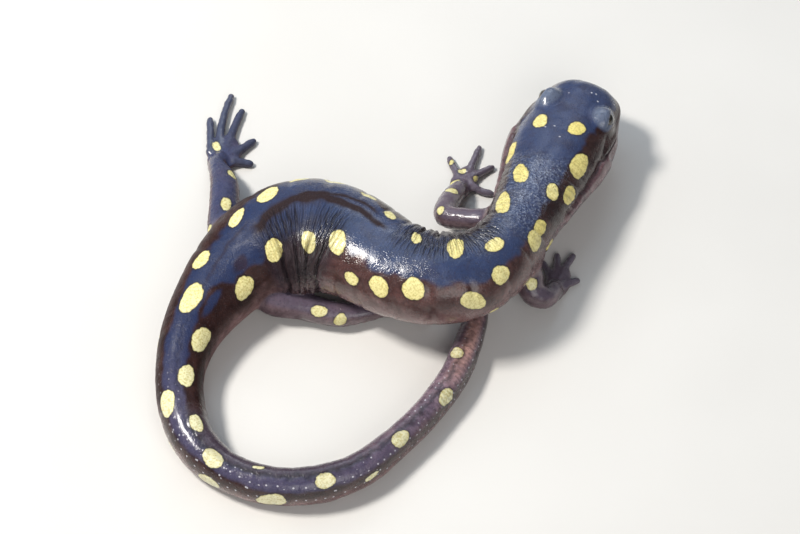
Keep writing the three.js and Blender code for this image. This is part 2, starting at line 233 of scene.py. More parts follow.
def body_parts(x, y, z, s, w):
    """Distance to the plain body, with its section coordinates: lateral, vertical, angle from the top."""
    half, top, mid, low = section(s)
    up = z > mid
    b = np.where(up, top - mid, mid - low)
    head = 1 - smooth01(17, 28, s)
    nw = np.where(up, 2.15 + 0.25 * head, 2.3)
    nz = np.where(up, 2.15 - 0.7 * head, 2.3)
    n = 2.2
    ax, az = np.abs(w) / half + 1e-6, np.abs(z - mid) / b + 1e-6
    # |w|^nw + |z|^nz = 1 is the outline; one further root keeps the size of the distance
    f = ax ** nw + az ** nz
    rho = f ** (1 / n)
    gf = rho / (n * f)
    gw, gz = gf * nw * ax ** (nw - 1) / half, gf * nz * az ** (nz - 1) / b
    g2 = gw * gw + gz * gz
    m = np.where(s < 40, 2.9, 2.3)
    u = np.maximum((NOSE - s) / NOSE_LONG, 0) + np.maximum((s - (END - TAIL_LONG)) / TAIL_LONG, 0)
    long = np.where(s < NOSE, NOSE_LONG, TAIL_LONG)
    cap = (rho ** m + u ** m) ** (1 / m)
    ga = cap ** (1 - m) * rho ** (m - 1)
    gu = cap ** (1 - m) * u ** (m - 1) / long
    g = np.sqrt(ga * ga * g2 + gu * gu)
    d = (cap - 1) / np.maximum(g, 0.08)
    ang = np.arctan2(w / half, (z - mid) / b)     # 0 on the back, + to the right, pi below
    return d, ang


# ---------------------------------------------------------------------------
# The solid shape as one distance field
# ---------------------------------------------------------------------------
SPLIT = (86.0, 104.0)      # the two stretches of the body overlap here


def body_field(P):
    """Plain body: distance, s, w and angle of the nearer of its two stretches."""
    x, y, z = P[:, 0], P[:, 1], P[:, 2]
    s1, w1 = refine_s(x, y, nearest_s(x, y, 0, SPLIT[1] + 1), 0, SPLIT[1] + 1)
    d1, a1 = body_parts(x, y, z, s1, w1)
    d1 = np.maximum(d1, s1 - SPLIT[1])
    s2, w2 = refine_s(x, y, nearest_s(x, y, SPLIT[0] - 1, END), SPLIT[0] - 1, END)
    d2, a2 = body_parts(x, y, z, s2, w2)
    d2 = np.maximum(d2, SPLIT[0] - s2)
    first = d1 < d2
    return (np.where(first, d1, d2), np.where(first, s1, s2), np.where(first, w1, w2), np.where(first, a1, a2))


def chain(P, path):
    """Distance to a run of tapered capsules, and how far along it (0 to 1) the nearest point is."""
    best, where = np.full(len(P), 1e3), np.zeros(len(P))
    m = len(path) - 1
    for i in range(m):
        a, b = path[i, :3], path[i + 1, :3]
        ab = b - a
        t = np.clip(((P - a) @ ab) / max(ab @ ab, 1e-9), 0, 1)
        d = np.linalg.norm(P - a - t[:, None] * ab, axis=1) - (path[i, 3] + t * (path[i + 1, 3] - path[i, 3]))
        near = d < best
        best = np.where(near, d, best)
        where = np.where(near, (i + t) / m, where)
    return best, where


def toe_path(toe, r0, r1):
    x0, y0, x1, y1, bow = toe
    n = math.hypot(x1 - x0, y1 - y0)
    ex, ey = (y0 - y1) / n, (x1 - x0) / n
    out = []
    for k in np.linspace(0, 1, 9):
        u = k * (n - 0.8 * r1) / n
        b = 4 * bow * u * (1 - u)
        r = float(np.interp(k, [0, 0.35, 0.62, 0.86, 1], [r0, 0.5 * (r0 + r1) * 0.96, r1 * 1.0, r1 * 1.0, r1 * 0.8]))
        z = float(np.interp(k, [0, 0.4, 0.86, 1], [0.8, 0.66, 0.56, 0.5]))
        out.append((x0 + (x1 - x0) * u + ex * b, y0 + (y1 - y0) * u + ey * b, z, r))
    return np.array(out)


class Limb:
    def __init__(self, name):
        spec = LIMBS[name]
        rows = with_chords(spec["line"])
        self.length = rows[-1, 0]
        self.path = hermite(rows, np.linspace(0, self.length, 30))
        srows = with_chords(spec["sole"], 2)
        self.sole = hermite(srows, np.linspace(0, srows[-1, 0], 9))       # x, y, half width, height
        self.toes = [toe_path(t, *spec["toe_r"]) for t in spec["toes"]]
        pts = [self.path[:, :3]] + [t[:, :3] for t in self.toes]
        allp = np.vstack(pts)
        self.lo, self.hi = allp.min(0) - 4.5, allp.max(0) + 4.5

    def field(self, P):
        """Distance, 0-1 along the limb, and a toe mark (0 limb, 1 toe)."""
        d, t = chain(P, self.path)
        # the palm or sole: a flat oval swept along its line
        m = len(self.sole) - 1
        ds = np.full(len(P), 1e3)
        for i in range(m):
            a, b = self.sole[i], self.sole[i + 1]
            ab = b[:2] - a[:2]
            q = np.clip(((P[:, :2] - a[:2]) @ ab) / max(ab @ ab, 1e-9), 0, 1)
            lat = np.linalg.norm(P[:, :2] - a[:2] - q[:, None] * ab, axis=1)
            hw, ht = a[2] + q * (b[2] - a[2]), a[3] + q * (b[3] - a[3])
            dz = P[:, 2] - 0.8 * ht
            rho = np.sqrt((lat / hw) ** 2 + (dz / ht) ** 2) + 1e-6
            g = np.sqrt((lat / hw ** 2) ** 2 + (dz / ht ** 2) ** 2) / rho + 1e-6
            ds = np.minimum(ds, (rho - 1) / np.maximum(g, 0.25))
        dt = np.full(len(P), 1e3)
        for toe in self.toes:
            e, _ = chain(P, toe)
            dt = smin(dt, e, 0.16)
        foot = smin(ds, dt, 0.5)
        mark = np.clip(0.5 + (ds - dt) / 0.8, 0, 1)
        out = smin(d, foot, 0.7)
        isfoot = np.clip(0.5 + (d - foot) / 1.2, 0, 1)
        return out, np.where(isfoot > 0.5, 1.0, t), mark * isfoot, isfoot


LIMB = [Limb(n) for n in LIMB_ORDER]


def eye_frame(side):
    """Centre of an eye (side -1 left, +1 right) and its axes: forward, out of the opening, up."""
    c = EYE["along"]
    x, y = np.interp(c, TS, TX), np.interp(c, TS, TY)
    t = np.array([math.cos(HEAD_AXIS), math.sin(HEAD_AXIS), 0.0])      # towards the tail
    r = np.array([-t[1], t[0], 0.0])                                    # the animal's right
    centre = np.array([x, y, EYE["z"]]) + r * side * EYE["side"]
    out = r * side * math.cos(EYE_UP) * math.cos(EYE_FORE) - t * math.sin(EYE_FORE) * math.cos(EYE_UP) \
        + np.array([0, 0, 1.0]) * math.sin(EYE_UP)
    out /= np.linalg.norm(out)
    fore = -t - out * float(-t @ out)
    fore /= np.linalg.norm(fore)
    up = np.cross(out, fore) * (1 if side < 0 else -1)
    if up[2] < 0:
        up = -up
    return centre, fore, out, up


EYE_UP, EYE_FORE = math.radians(19), math.radians(12)
EYE_FRAMES = [eye_frame(-1), eye_frame(1)]
SLIT_LONG, SLIT_HIGH = 1.5, 0.92       # half sizes of the opening between the lids
LID = (2.15, 1.86)                     # half sizes of the lid swelling, along the head and across it


def lids(P, d):
    """Join the lid swellings to the head."""
    for centre, _, _, _ in EYE_FRAMES:
        near = np.linalg.norm(P - centre, axis=1) < 5.5
        if not near.any():
            continue
        q = P[near] - centre
        t = np.array([math.cos(HEAD_AXIS), math.sin(HEAD_AXIS), 0.0])
        a = q @ t
        rest = q - a[:, None] * t
        r = np.linalg.norm(rest, axis=1)
        rho = np.sqrt((a / LID[0]) ** 2 + (r / LID[1]) ** 2) + 1e-6
        g = np.sqrt((a / LID[0] ** 2) ** 2 + (r / LID[1] ** 2) ** 2) / rho + 1e-6
        lid = (rho - 1) / g
        e = smin(d[near], lid, 1.5)
        d = d.copy()
        d[near] = e
    return d


def field(P, full=False):
    P = np.asarray(P, float)
    body, s, w, ang = body_field(P)
    d = body.copy()
    limb_id = np.full(len(P), -1)
    limb_w, limb_t, toe_w, foot_w = (np.zeros(len(P)) for _ in range(4))
    for k, limb in enumerate(LIMB):
        inside = np.all((P > limb.lo) & (P < limb.hi), axis=1)
        if not inside.any():
            continue
        dl, t, mark, isfoot = limb.field(P[inside])
        soft = 0.3 + 1.7 * (1 - smooth01(0.12, 0.62, t))
        if k == 3:
            soft = 0.3 + 1.5 * (1 - smooth01(0.02, 0.3, t))
        db = d[inside]
        if full:
            m = np.clip(0.5 + 0.5 * (db - dl) / np.maximum(soft, 0.5), 0, 1)
            better = m > limb_w[inside]
            idx = np.where(inside)[0][better]
            limb_w[idx], limb_t[idx], toe_w[idx], foot_w[idx] = m[better], t[better], mark[better], isfoot[better]
            limb_id[idx] = k
        d[inside] = smin(db, dl, soft)
    d = lids(P, d)
    d = smax(d, -P[:, 2], 0.12)
    if full:
        return d, dict(body=body, s=s, w=w, ang=ang, limb=limb_w, t=limb_t, toe=toe_w, foot=foot_w, which=limb_id)
    return d


# ---------------------------------------------------------------------------
# A mesh of the field: surface nets, evened out and pulled back onto the surface
# ---------------------------------------------------------------------------
def grid_points(ix, lo, h):
    return np.column_stack([lo[0] + ix[0] * h, lo[1] + ix[1] * h, lo[2] + ix[2] * h]).astype(float)


def surface_net(lo, hi, h):
    step = 4
    n = [int(math.ceil((hi[k] - lo[k]) / h / step)) * step + 1 for k in range(3)]
    coarse = [np.arange(0, n[k], step) for k in range(3)]
    gi = np.meshgrid(*coarse, indexing="ij")
    cd = field(grid_points([g.ravel() for g in gi], lo, h)).reshape(gi[0].shape)
    reach = step * h * 1.75
    near = np.abs(cd) < reach
    keep = np.zeros(tuple(n), bool)
    sign = np.repeat(np.repeat(np.repeat(cd, step, 0), step, 1), step, 2)[:n[0], :n[1], :n[2]]
    D = np.where(sign < 0, -5.0, 5.0).astype(np.float32)
    del sign
    block = np.zeros([c - 1 for c in near.shape], bool)
    for a in (0, 1):
        for b in (0, 1):
            for c in (0, 1):
                block |= near[a:near.shape[0] - 1 + a, b:near.shape[1] - 1 + b, c:near.shape[2] - 1 + c]
    big = np.repeat(np.repeat(np.repeat(block, step, 0), step, 1), step, 2)
    keep[:big.shape[0], :big.shape[1], :big.shape[2]] |= big
    for ax in range(3):
        keep |= np.roll(keep, 1, ax)
    ix = np.where(keep)
    vals = np.empty(len(ix[0]), np.float32)
    for a in range(0, len(vals), 400000):
        part = [i[a:a + 400000] for i in ix]
        vals[a:a + 400000] = field(grid_points(part, lo, h))
    D[ix] = vals
    neg = D < 0
    c = [neg[i:n[0] - 1 + i, j:n[1] - 1 + j, k:n[2] - 1 + k] for i in (0, 1) for j in (0, 1) for k in (0, 1)]
    total = sum(v.astype(np.int8) for v in c)
    active = (total > 0) & (total < 8)
    cells = np.array(np.where(active))
    index = np.full(active.shape, -1, np.int64)
    index[active] = np.arange(cells.shape[1])
    pos, cnt = np.zeros((cells.shape[1], 3)), np.zeros(cells.shape[1])
    for ax in range(3):
        o = [k for k in range(3) if k != ax]
        for p in (0, 1):
            for q in (0, 1):
                off = np.zeros(3, int)
                off[o[0]], off[o[1]] = p, q
                a = cells + off[:, None]
                b = a.copy()
                b[ax] += 1
                da, db = D[tuple(a)], D[tuple(b)]
                cross = (da < 0) != (db < 0)
                t = np.where(cross, da / np.where(cross, da - db, 1), 0)
                pt = a.T.astype(float)
                pt[:, ax] += t
                pos += pt * cross[:, None]
                cnt += cross
    pos = pos / cnt[:, None] * h + np.array(lo)
    quads = []
    for ax in range(3):
        o = [k for k in range(3) if k != ax]
        sl0 = [slice(1, n[k] - 1) for k in range(3)]
        sl1 = [slice(1, n[k] - 1) for k in range(3)]
        sl0[ax], sl1[ax] = slice(0, n[ax] - 1), slice(1, n[ax])
        A, B = neg[tuple(sl0)], neg[tuple(sl1)]
        ch = np.array(np.where(A != B))
        flip = A[tuple(ch)]
        base = ch + 1
        base[ax] -= 1
        ring = []
        for p, q in ((0, 0), (1, 0), (1, 1), (0, 1)):
            cc = base.copy()
            cc[o[0]] -= 1 - p
            cc[o[1]] -= 1 - q
            ring.append(index[tuple(cc)])
        ring = np.array(ring).T
        turn = flip if ax != 1 else ~flip
        ring[~turn] = ring[~turn][:, ::-1]
        quads.append(ring)
    quads = np.vstack(quads)
    quads = quads[(quads >= 0).all(1)]
    return pos, quads


def triangles(P, quads):
    """Split each quad along its shorter diagonal."""
    d1 = np.linalg.norm(P[quads[:, 0]] - P[quads[:, 2]], axis=1)
    d2 = np.linalg.norm(P[quads[:, 1]] - P[quads[:, 3]], axis=1)
    a = quads[d1 <= d2]
    b = quads[d1 > d2]
    return np.vstack([a[:, [0, 1, 2]], a[:, [0, 2, 3]], b[:, [1, 2, 3]], b[:, [1, 3, 0]]])


def tri_edges(T):
    e = np.vstack([T[:, [0, 1]], T[:, [1, 2]], T[:, [2, 0]]])
    e.sort(axis=1)
    key = e[:, 0] * (T.max() + 1) + e[:, 1]
    u, inv = np.unique(key, return_inverse=True)
    return np.column_stack([u // (T.max() + 1), u % (T.max() + 1)]), inv.reshape(3, -1).T


def normals(P, T):
    n = np.cross(P[T[:, 1]] - P[T[:, 0]], P[T[:, 2]] - P[T[:, 0]])
    out = np.zeros_like(P)
    for k in range(3):
        for c in range(3):
            out[:, c] += np.bincount(T[:, k], n[:, c], len(P))
    return out / np.maximum(np.linalg.norm(out, axis=1), 1e-12)[:, None]


def relax(P, E, N, amount):
    s = np.zeros_like(P)
    for c in range(3):
        s[:, c] = np.bincount(E[:, 0], P[E[:, 1], c], len(P)) + np.bincount(E[:, 1], P[E[:, 0], c], len(P))
    k = np.bincount(E[:, 0], minlength=len(P)) + np.bincount(E[:, 1], minlength=len(P))
    m = s / np.maximum(k, 1)[:, None] - P
    m -= N * (m * N).sum(1)[:, None]
    return P + amount * m


TETRA = np.array([(1, -1, -1), (-1, -1, 1), (-1, 1, -1), (1, 1, 1)], float)


def gradient(P, eps=0.06):
    g = np.zeros_like(P)
    m = np.zeros(len(P))
    for t in TETRA:
        v = field(P + t * eps)
        g += v[:, None] * t
        m += v
    return g / (4 * eps), m / 4


def project(P, rounds=2, cap=0.25):
    for _ in range(rounds):
        g, d = gradient(P)
        n2 = np.maximum((g * g).sum(1), 0.08)
        step = g * (d / n2)[:, None]
        ln = np.linalg.norm(step, axis=1)
        step *= np.minimum(1, cap / np.maximum(ln, 1e-9))[:, None]
        P = P - step
    return P


def refine(P, T, marked):
    """Split the marked triangles in four, and their neighbours so that no gap opens."""
    E, TE = tri_edges(T)
    cut = np.zeros(len(E), bool)
    cut[TE[marked].ravel()] = True
    mid = np.full(len(E), -1)
    mid[cut] = len(P) + np.arange(cut.sum())
    P2 = np.vstack([P, 0.5 * (P[E[cut, 0]] + P[E[cut, 1]])])
    m = mid[TE]                       # mids of edges 01, 12, 20
    k = (m >= 0).sum(1)
    out = [T[k == 0]]
    t, q = T[k == 3], m[k == 3]
    out += [np.column_stack(c) for c in ((t[:, 0], q[:, 0], q[:, 2]), (q[:, 0], t[:, 1], q[:, 1]),
                                         (q[:, 2], q[:, 1], t[:, 2]), (q[:, 0], q[:, 1], q[:, 2]))]
    for j in range(3):                # one edge cut: turn it to place 01
        sel = (k == 1) & (m[:, j] >= 0)
        t, q = np.roll(T[sel], -j, 1), m[sel, j]
        out += [np.column_stack((t[:, 0], q, t[:, 2])), np.column_stack((q, t[:, 1], t[:, 2]))]
        sel = (k == 2) & (m[:, j] < 0)    # the uncut edge turned to place 01
        t, q = np.roll(T[sel], -j, 1), np.roll(m[sel], -j, 1)
        out += [np.column_stack((t[:, 0], t[:, 1], q[:, 1])), np.column_stack((t[:, 0], q[:, 1], q[:, 2])),
                np.column_stack((q[:, 2], q[:, 1], t[:, 2]))]
    return P2, np.vstack(out)


# ---------------------------------------------------------------------------
# Surface detail: how far each point stands off the plain body, along its normal
# ---------------------------------------------------------------------------
def gauss(x, width):
    return np.exp(-(x / width) ** 2)


def soft_bend(s):
    """Curvature of the backbone evened out over about 8 mm: where the skin bunches up."""
    return np.interp(s, TS, TKS)


_gk = np.exp(-0.5 * (np.arange(-120, 121) / 38.0) ** 2)
TKS = np.convolve(np.pad(TK, 120, mode="edge"), _gk / _gk.sum(), "valid")

COSTAL = 4.12                     # spacing of the rib grooves along the backbone
MOUTH = [(0.0, 7.7), (4.0, 7.75), (8.0, 8.05), (11.0, 8.55), (13.2, 9.05)]       # s, height of the lip line
FOLD = [(12.6, 8.95), (15.0, 9.5), (17.5, 9.75), (20.0, 9.85), (23.0, 10.1), (26.5, 10.4), (31.0, 10.6)]

w_low, w_mid, w_fine, w_warp = Waves(3, 9.0), Waves(5, 3.2), Waves(8, 1.1, 18), Waves(11, 6.0)
w_tail, w_skin = Waves(21, 2.0), Waves(31, 0.75, 22)


def curve_at(table, s):
    t = np.asarray(table)
    return np.interp(s, t[:, 0], t[:, 1])


def detail(P, N, info, fine=True):
    """Offset in mm along the normal, and the values the materials need."""
    s, w, ang, limb, t = info["s"], info["w"], np.degrees(info["ang"]), info["limb"], info["t"]
    z = P[:, 2]
    body = 1 - smooth01(0.25, 0.75, limb)
    side = np.abs(ang)
    off = np.zeros(len(P))
    head = 1 - smooth01(19, 25, s)

    # --- lips, jaw and the fold that runs on from the corner of the mouth
    lip = z - curve_at(MOUTH, s)
    mouth = (1 - smooth01(12.4, 13.6, s)) * body * (N[:, 2] < 0.86)
    line = gauss(lip, 0.17) * mouth
    off += mouth * (0.16 * gauss(lip - 0.5, 0.42) - 0.12 * gauss(lip + 0.55, 0.5) * (lip < 0.2)) - 0.26 * line
    fz = z - curve_at(FOLD, s) - 0.12 * np.sin(s * 1.7) - 0.1 * w_mid(P)
    fm = window(s, 13.4, 27.5, 1.6) * body * (side > 25)
    off += fm * (0.3 * smooth01(0.05, -0.7, fz) * smooth01(-3.6, -1.2, fz) - 0.3 * gauss(fz, 0.26) - 0.08 * gauss(fz - 0.55, 0.2))
    throat = window(s, -5, 33, 4) * (1 - smooth01(-0.5, 0.25, np.where(s < 13, lip, fz)))

    # --- fold across the throat, and the wrinkled nape and neck
    gz = s - 24.2 - 0.02 * (180 - side) - 0.25 * w_mid(P)
    off -= 0.34 * gauss(gz, 0.42) * smooth01(95, 125, side) * body
    off -= 0.16 * gauss(gz - 3.1, 0.35) * smooth01(105, 130, side) * body
    np1 = s / 1.55 + 0.35 * w_warp(P) + 0.012 * ang
    nm = window(s, 21.5, 36, 3.5) * window(side, 28, 112, 20) * body
    crease = gauss((np1 % 1) - 0.5, 0.17)
    off -= 0.085 * crease * nm * (0.55 + 0.45 * w_low(P).clip(-1, 1))

    # --- head: groove behind the eye, nostrils, hollow before the eyes, jaw muscles, a dip on the top behind the eyes
    off += head * body * (-0.12 * gauss((side - 24) / 1.0, 9) * window(s, 2.2, 5.0, 1.6))
    off += 0.16 * gauss(s - 15.2, 3.4) * gauss(side - 34, 15) * body
    off -= 0.13 * gauss((s - 17.5 + 0.0) / 1.0, 5.2) * gauss(ang, 7) * body
    off -= 0.1 * gauss(z - (10.2 - 0.06 * (s - 10)), 0.34) * window(s, 10.4, 19.5, 1.2) * (side > 20) * (side < 88) * body
    pores = np.zeros(len(P))
    axis = np.array([math.cos(HEAD_AXIS), math.sin(HEAD_AXIS), 0.0])
    right = np.array([-axis[1], axis[0], 0.0])
    nose = np.array([TX[0], TY[0], 0.0])
    q = P - nose
    for sgn in (-1, 1):
        c = axis * 0.95 + right * sgn * 2.35 + np.array([0, 0, 9.55])
        r = np.linalg.norm((q - c) * np.array([1, 1, 1.25]), axis=1)
        off += (-0.3 * gauss(r, 0.27) + 0.06 * gauss(r - 0.52, 0.2)) * (s < 4)
        pores = np.maximum(pores, gauss(r, 0.3) * (s < 4))

    # --- eyes: swelling set off by a furrow, opening between the lids
    lid, inner, dome = np.zeros(len(P)), np.zeros(len(P)), np.zeros(len(P))
    pull = np.zeros_like(P)
    for centre, fore, out, up in EYE_FRAMES:
        q = P - centre
        r = np.linalg.norm(q, axis=1)
        near = r < 6
        flat = q - np.outer(q @ axis, axis)
        ring = np.sqrt(((q @ axis) / 2.75) ** 2 + (np.linalg.norm(flat, axis=1) / 2.4) ** 2)
        off -= 0.10 * gauss(ring - 1.12, 0.2) * near * (z > 9.8) * smooth01(-1.0, 1.5, -(q @ out))
        dome = np.maximum(dome, near * smooth01(1.06, 0.8, ring) * smooth01(10.3, 11.1, z))
        fa, fb, fc = q @ fore, q @ up, q @ out
        high = np.where(fb > 0, SLIT_HIGH * 1.04, SLIT_HIGH * 0.94)
        arc = high * np.clip(1 - np.abs(fa / SLIT_LONG) ** 2.2, -2.0, 1)
        gap = np.where(fc > 0, np.abs(fb) - arc, 3.0)        # below 0 inside the opening
        gap = np.where(near, gap, 3.0)
        off += 0.02 * gauss(gap - 0.3, 0.15) * near
        off -= 0.06 * gauss(gap - 0.62, 0.14) * near * (fb < 0)
        off -= 0.05 * gauss(gap - 0.72, 0.13) * near * (fb > 0)
        cut = smooth01(0.06, -0.07, gap)
        inner = np.maximum(inner, cut)
        lid = np.maximum(lid, near * gauss(np.clip(gap, 0, None), 0.28))
        unit = q / np.maximum(r, 1e-6)[:, None]
        thin = smooth01(0.75, 0.02, gap) * (1 - cut) * (fc > 0) * near
        pull += unit * (np.minimum(EYE["r"] + 0.10 - r, 0) * thin * 0.8)[:, None]
        pull += unit * (np.minimum(EYE["r"] - 0.16 - r, 0) * cut)[:, None]

    # --- line down the back, rib grooves
    mid = gauss(w, 0.75) * window(s, 50, 90, 9) * body
    off -= 0.05 * mid * (0.8 + 0.2 * w_mid(P))
    bend = soft_bend(s)
    a_in = ang * np.sign(bend)                     # above 0 on the inner side of the bend
    hard = smooth01(0.012, 0.055, np.abs(bend))
    trunk = window(s, 34, 88, 4) * body
    costal = (s - 36.2) / COSTAL + 0.05 * w_warp(P) + 0.0009 * (side - 80)
    dist = np.abs((costal % 1) - 0.5)
    plain = window(side, 42, 128, 22) * trunk
    off -= 0.15 * gauss(dist - 0.0, 0.085) * plain * (1 - 0.75 * smooth01(10, 40, a_in) * hard)
    # bunched folds low on the inner side of the bends
    fold_m = window(a_in, 42, 118, 17) * trunk * hard * (1 - smooth01(80, 84.5, s))
    crump = window(a_in, 84, 118, 14) * window(s, 66, 82, 5)
    fdist = np.abs(((costal + 0.09 * w_mid(P) * (0.4 + crump)) % 1) - 0.5)
    fold = gauss(fdist, 0.13)
    dist2 = np.abs(((2 * costal + 0.5 + 0.22 * w_mid(P)) % 1) - 0.5)
    fold2 = gauss(dist2, 0.16)
    off += fold_m * (0.16 - 0.46 * fold - 0.19 * fold2)
    off += 0.16 * crump * fold_m * w_fine(P)
    # fine cracks from the crest down the inner side
    wphase = s / 1.16 + 0.16 * w_mid(P) + 0.3 * w_warp(P)
    wm = smooth01(-16, 8, a_in) * (1 - smooth01(62, 92, a_in)) * trunk * hard * (1 - smooth01(79.5, 84, s))
    wm = wm * np.clip(0.75 + 0.4 * w_low(P + 7.0), 0.15, 1)
    wcrack = gauss((wphase % 1) - 0.5, 0.15)
    off += wm * (0.04 - 0.17 * wcrack)
    # stretched skin on the outer side stays smooth
    # --- tail: rib-like grooves near the root, rings towards the tip, a ridge line on top
    tail = smooth01(90, 100, s) * body
    tphase = (s - 36.2) / 2.9 + 0.1 * w_warp(P)
    off -= 0.05 * gauss((tphase % 1) - 0.5, 0.12) * tail * window(side, 35, 140, 25) * (1 - smooth01(140, 160, s))
    rphase = s / 0.82 + 0.22 * w_mid(P) + 0.12 * w_fine(P)
    rm = smooth01(146, 164, s) * body * (1 - smooth01(182, 187, s))
    off -= 0.05 * gauss((rphase % 1) - 0.5, 0.2) * rm
    ridge = w + 0.1 + 0.13 * np.sin(2.7 * s) + 0.22 * w_tail(P * np.array([1, 1, 0.3]))
    tridge = gauss(ridge, 0.34) * window(s, 104, 178, 8) * body * (side < 60)
    off -= 0.1 * tridge
    tline = gauss(ridge, 0.46) * window(s, 119, 172, 6) * body * (side < 70)
    # --- limbs: soft rings of skin along the arms and legs, none on the hands and feet
    lim = smooth01(0.3, 0.8, limb)
    lphase = t * 26 + 0.35 * w_mid(P)
    off -= 0.035 * gauss((lphase % 1) - 0.5, 0.2) * lim * (1 - info["foot"])
    off += 0.03 * w_fine(P) * lim
    # --- slow unevenness everywhere
    off += 0.045 * w_low(P) * (0.4 + 0.6 * body) + 0.018 * w_mid(P)
    off *= smooth01(0.0, 0.5, z) * 0.85 + 0.15       # the sole of it lies flat

    arc = ang / 180 * np.pi * np.interp(s, TS, 0.5 * (GT[:, 0] + 0.5 * (GT[:, 1] - GT[:, 3])))
    values = dict(s=s, arc=arc, ang=ang, limb=limb, toe=info["toe"], throat=throat * body, lip=line, wphase=wphase, wmask=wm,
                  fold=fold_m * np.maximum(fold, 0.5 * fold2), foldmask=fold_m, rphase=rphase, rmask=rm, ridge=np.maximum(0.5 * tridge, tline),
                  lid=lid, inner=inner, dome=dome, pore=pores, crease=crease * nm)
    return off, pull, values


def build_skin(h):
    flat = np.column_stack([TX, TY])
    lo = np.array([flat[:, 0].min() - 4.5, flat[:, 1].min() - 4.5, -0.8])
    hi = np.array([flat[:, 0].max() + 7.5, 37.5, 18.3])
    P, Q = surface_net(lo, hi, h)
    T = triangles(P, Q)
    E, _ = tri_edges(T)
    for _ in range(3):
        P = project(relax(P, E, normals(P, T), 0.55), 1)
    _, info = field(P, True)
    ang, s = np.degrees(info["ang"]), info["s"]
    inner = ang * np.sign(soft_bend(s))
    bent = (np.abs(soft_bend(s)) > 0.02) & (inner > -18) & (inner < 128) & (s > 33) & (s < 90) & (info["limb"] < 0.7)
    want = (s < 25.5) & (info["limb"] < 0.5) | (info["foot"] > 0.25) | bent
    P, T = refine(P, T, want[T].any(1))
    E, _ = tri_edges(T)
    P = project(relax(P, E, normals(P, T), 0.5), 1)
    # the eyes, lips and nostrils once more
    near = np.zeros(len(P), bool)
    for c, _, out, _ in EYE_FRAMES:
        q = P - c
        near |= (np.linalg.norm(q, axis=1) < 3.3) & (q @ out > -0.6)
    _, info = field(P, True)
    lip = P[:, 2] - curve_at(MOUTH, info["s"])
    near |= (np.abs(lip) < 0.5) & (info["s"] < 13.6) & (info["limb"] < 0.3)
    near |= (info["s"] < 2.6) & (np.abs(P[:, 2] - 9.5) < 0.9) & (np.abs(np.abs(info["w"]) - 2.35) < 1.0)
    near |= np.abs(spots(P, normals(P, T))[0]) < 0.26        # a clean edge round every spot
    P, T = refine(P, T, near[T].any(1))
    E, _ = tri_edges(T)
    P = project(relax(P, E, normals(P, T), 0.5), 1)
    _, info = field(P, True)
    N = normals(P, T)
    off, pull, values = detail(P, N, info)
    D = P + N * (off * (1 - values["inner"]))[:, None] + pull
    D[:, 2] = np.maximum(D[:, 2], 0.0)
    return P, D, T, N, info, values
# ---------------------------------------------------------------------------
# The yellow spots: distance from the snout, angle round the body from the back (+ right),
# half length, half width, turn from the line of the body towards the left
# ---------------------------------------------------------------------------
SPOTS = [
    (12.8, 15, 1.6, 1.3, 13), (13.5, -26, 1.75, 1.1, -18), (19.5, 40, 2.45, 1.6, 2), (19.8, -59, 2.25, 1.2, 2),
    (25.2, 55, 1.7, 1.3, 13), (25.5, -26, 2.2, 1.26, -27), (26.9, 30, 1.58, 1.04, -15), (32.3, -33, 2.5, 1.3, -30),
    (33.6, 45, 1.4, 1.2, 0), (35.9, 49, 1.75, 1.55, 0), (41.3, 6, 1.7, 1.12, -1), (43.2, 46, 1.65, 1.42, -15),
    (46.6, 67, 2.25, 1.5, 37), (47.4, -11, 2.17, 1.27, -77), (52.6, 47, 1.88, 1.62, 36), (54.8, -20, 1.3, 0.76, 68),
    (56.4, 56, 1.85, 1.4, 30), (60.2, 61, 1.22, 1.0, 18), (65.2, 30, 2.11, 1.27, 64), (71.5, 37, 1.74, 1.14, 73),
    (62.0, -36, 1.25, 0.8, 28), (66.6, -47, 1.5, 0.6, 8), (70.9, -54, 1.9, 1.0, 0), (74.4, -52, 1.6, 1.0, 0),
    (78.0, -32, 2.0, 1.58, -43), (80.5, 36, 1.83, 1.38, -61), (82.6, -27, 1.9, 1.1, -18), (89.5, 51, 1.95, 1.46, -43),
    (89.8, -30, 1.7, 1.27, 14), (95.8, -11, 2.6, 1.66, 7), (101.4, 41, 2.05, 1.52, 2), (108.6, 21, 1.98, 1.25, 14),
    (112.5, -38, 2.15, 1.54, 15), (117.4, 18, 1.5, 1.0, 9), (123.6, -16, 1.67, 1.36, 8), (124.1, -95, 1.97, 1.31, 1),
    (132.9, -89, 2.38, 1.52, -23), (140.3, -28, 1.5, 1.22, -16), (146.6, -74, 1.25, 0.5, -4), (153.3, -26, 1.6, 1.14, -1),
    (163.4, -42, 1.5, 1.15, 10), (171.0, 19, 1.16, 1.0, -84), (130.4, 21, 0.85, 0.32, -12),
    # the far side, from the species
    (39.0, -88, 1.7, 1.3, 12), (50.6, -84, 1.3, 1.0, -20), (58.0, -92, 0.8, 0.6, 0),
    (84.5, -92, 1.5, 1.2, 15), (91.0, -98, 1.1, 0.9, 0), (101.5, -88, 1.6, 1.2, -10), (106.8, -104, 1.0, 0.8, 0),
    (117.0, -104, 1.2, 0.9, 12), (127.5, 88, 1.5, 1.1, 10), (137.5, 84, 1.3, 1.0, -12), (147.0, 92, 1.4, 0.95, 8),
    (158.5, 86, 1.2, 0.9, 15), (167.0, 92, 1.0, 0.7, -8), (33.0, 96, 1.0, 0.8, 0), (44.5, 108, 0.8, 0.6, 10),
]
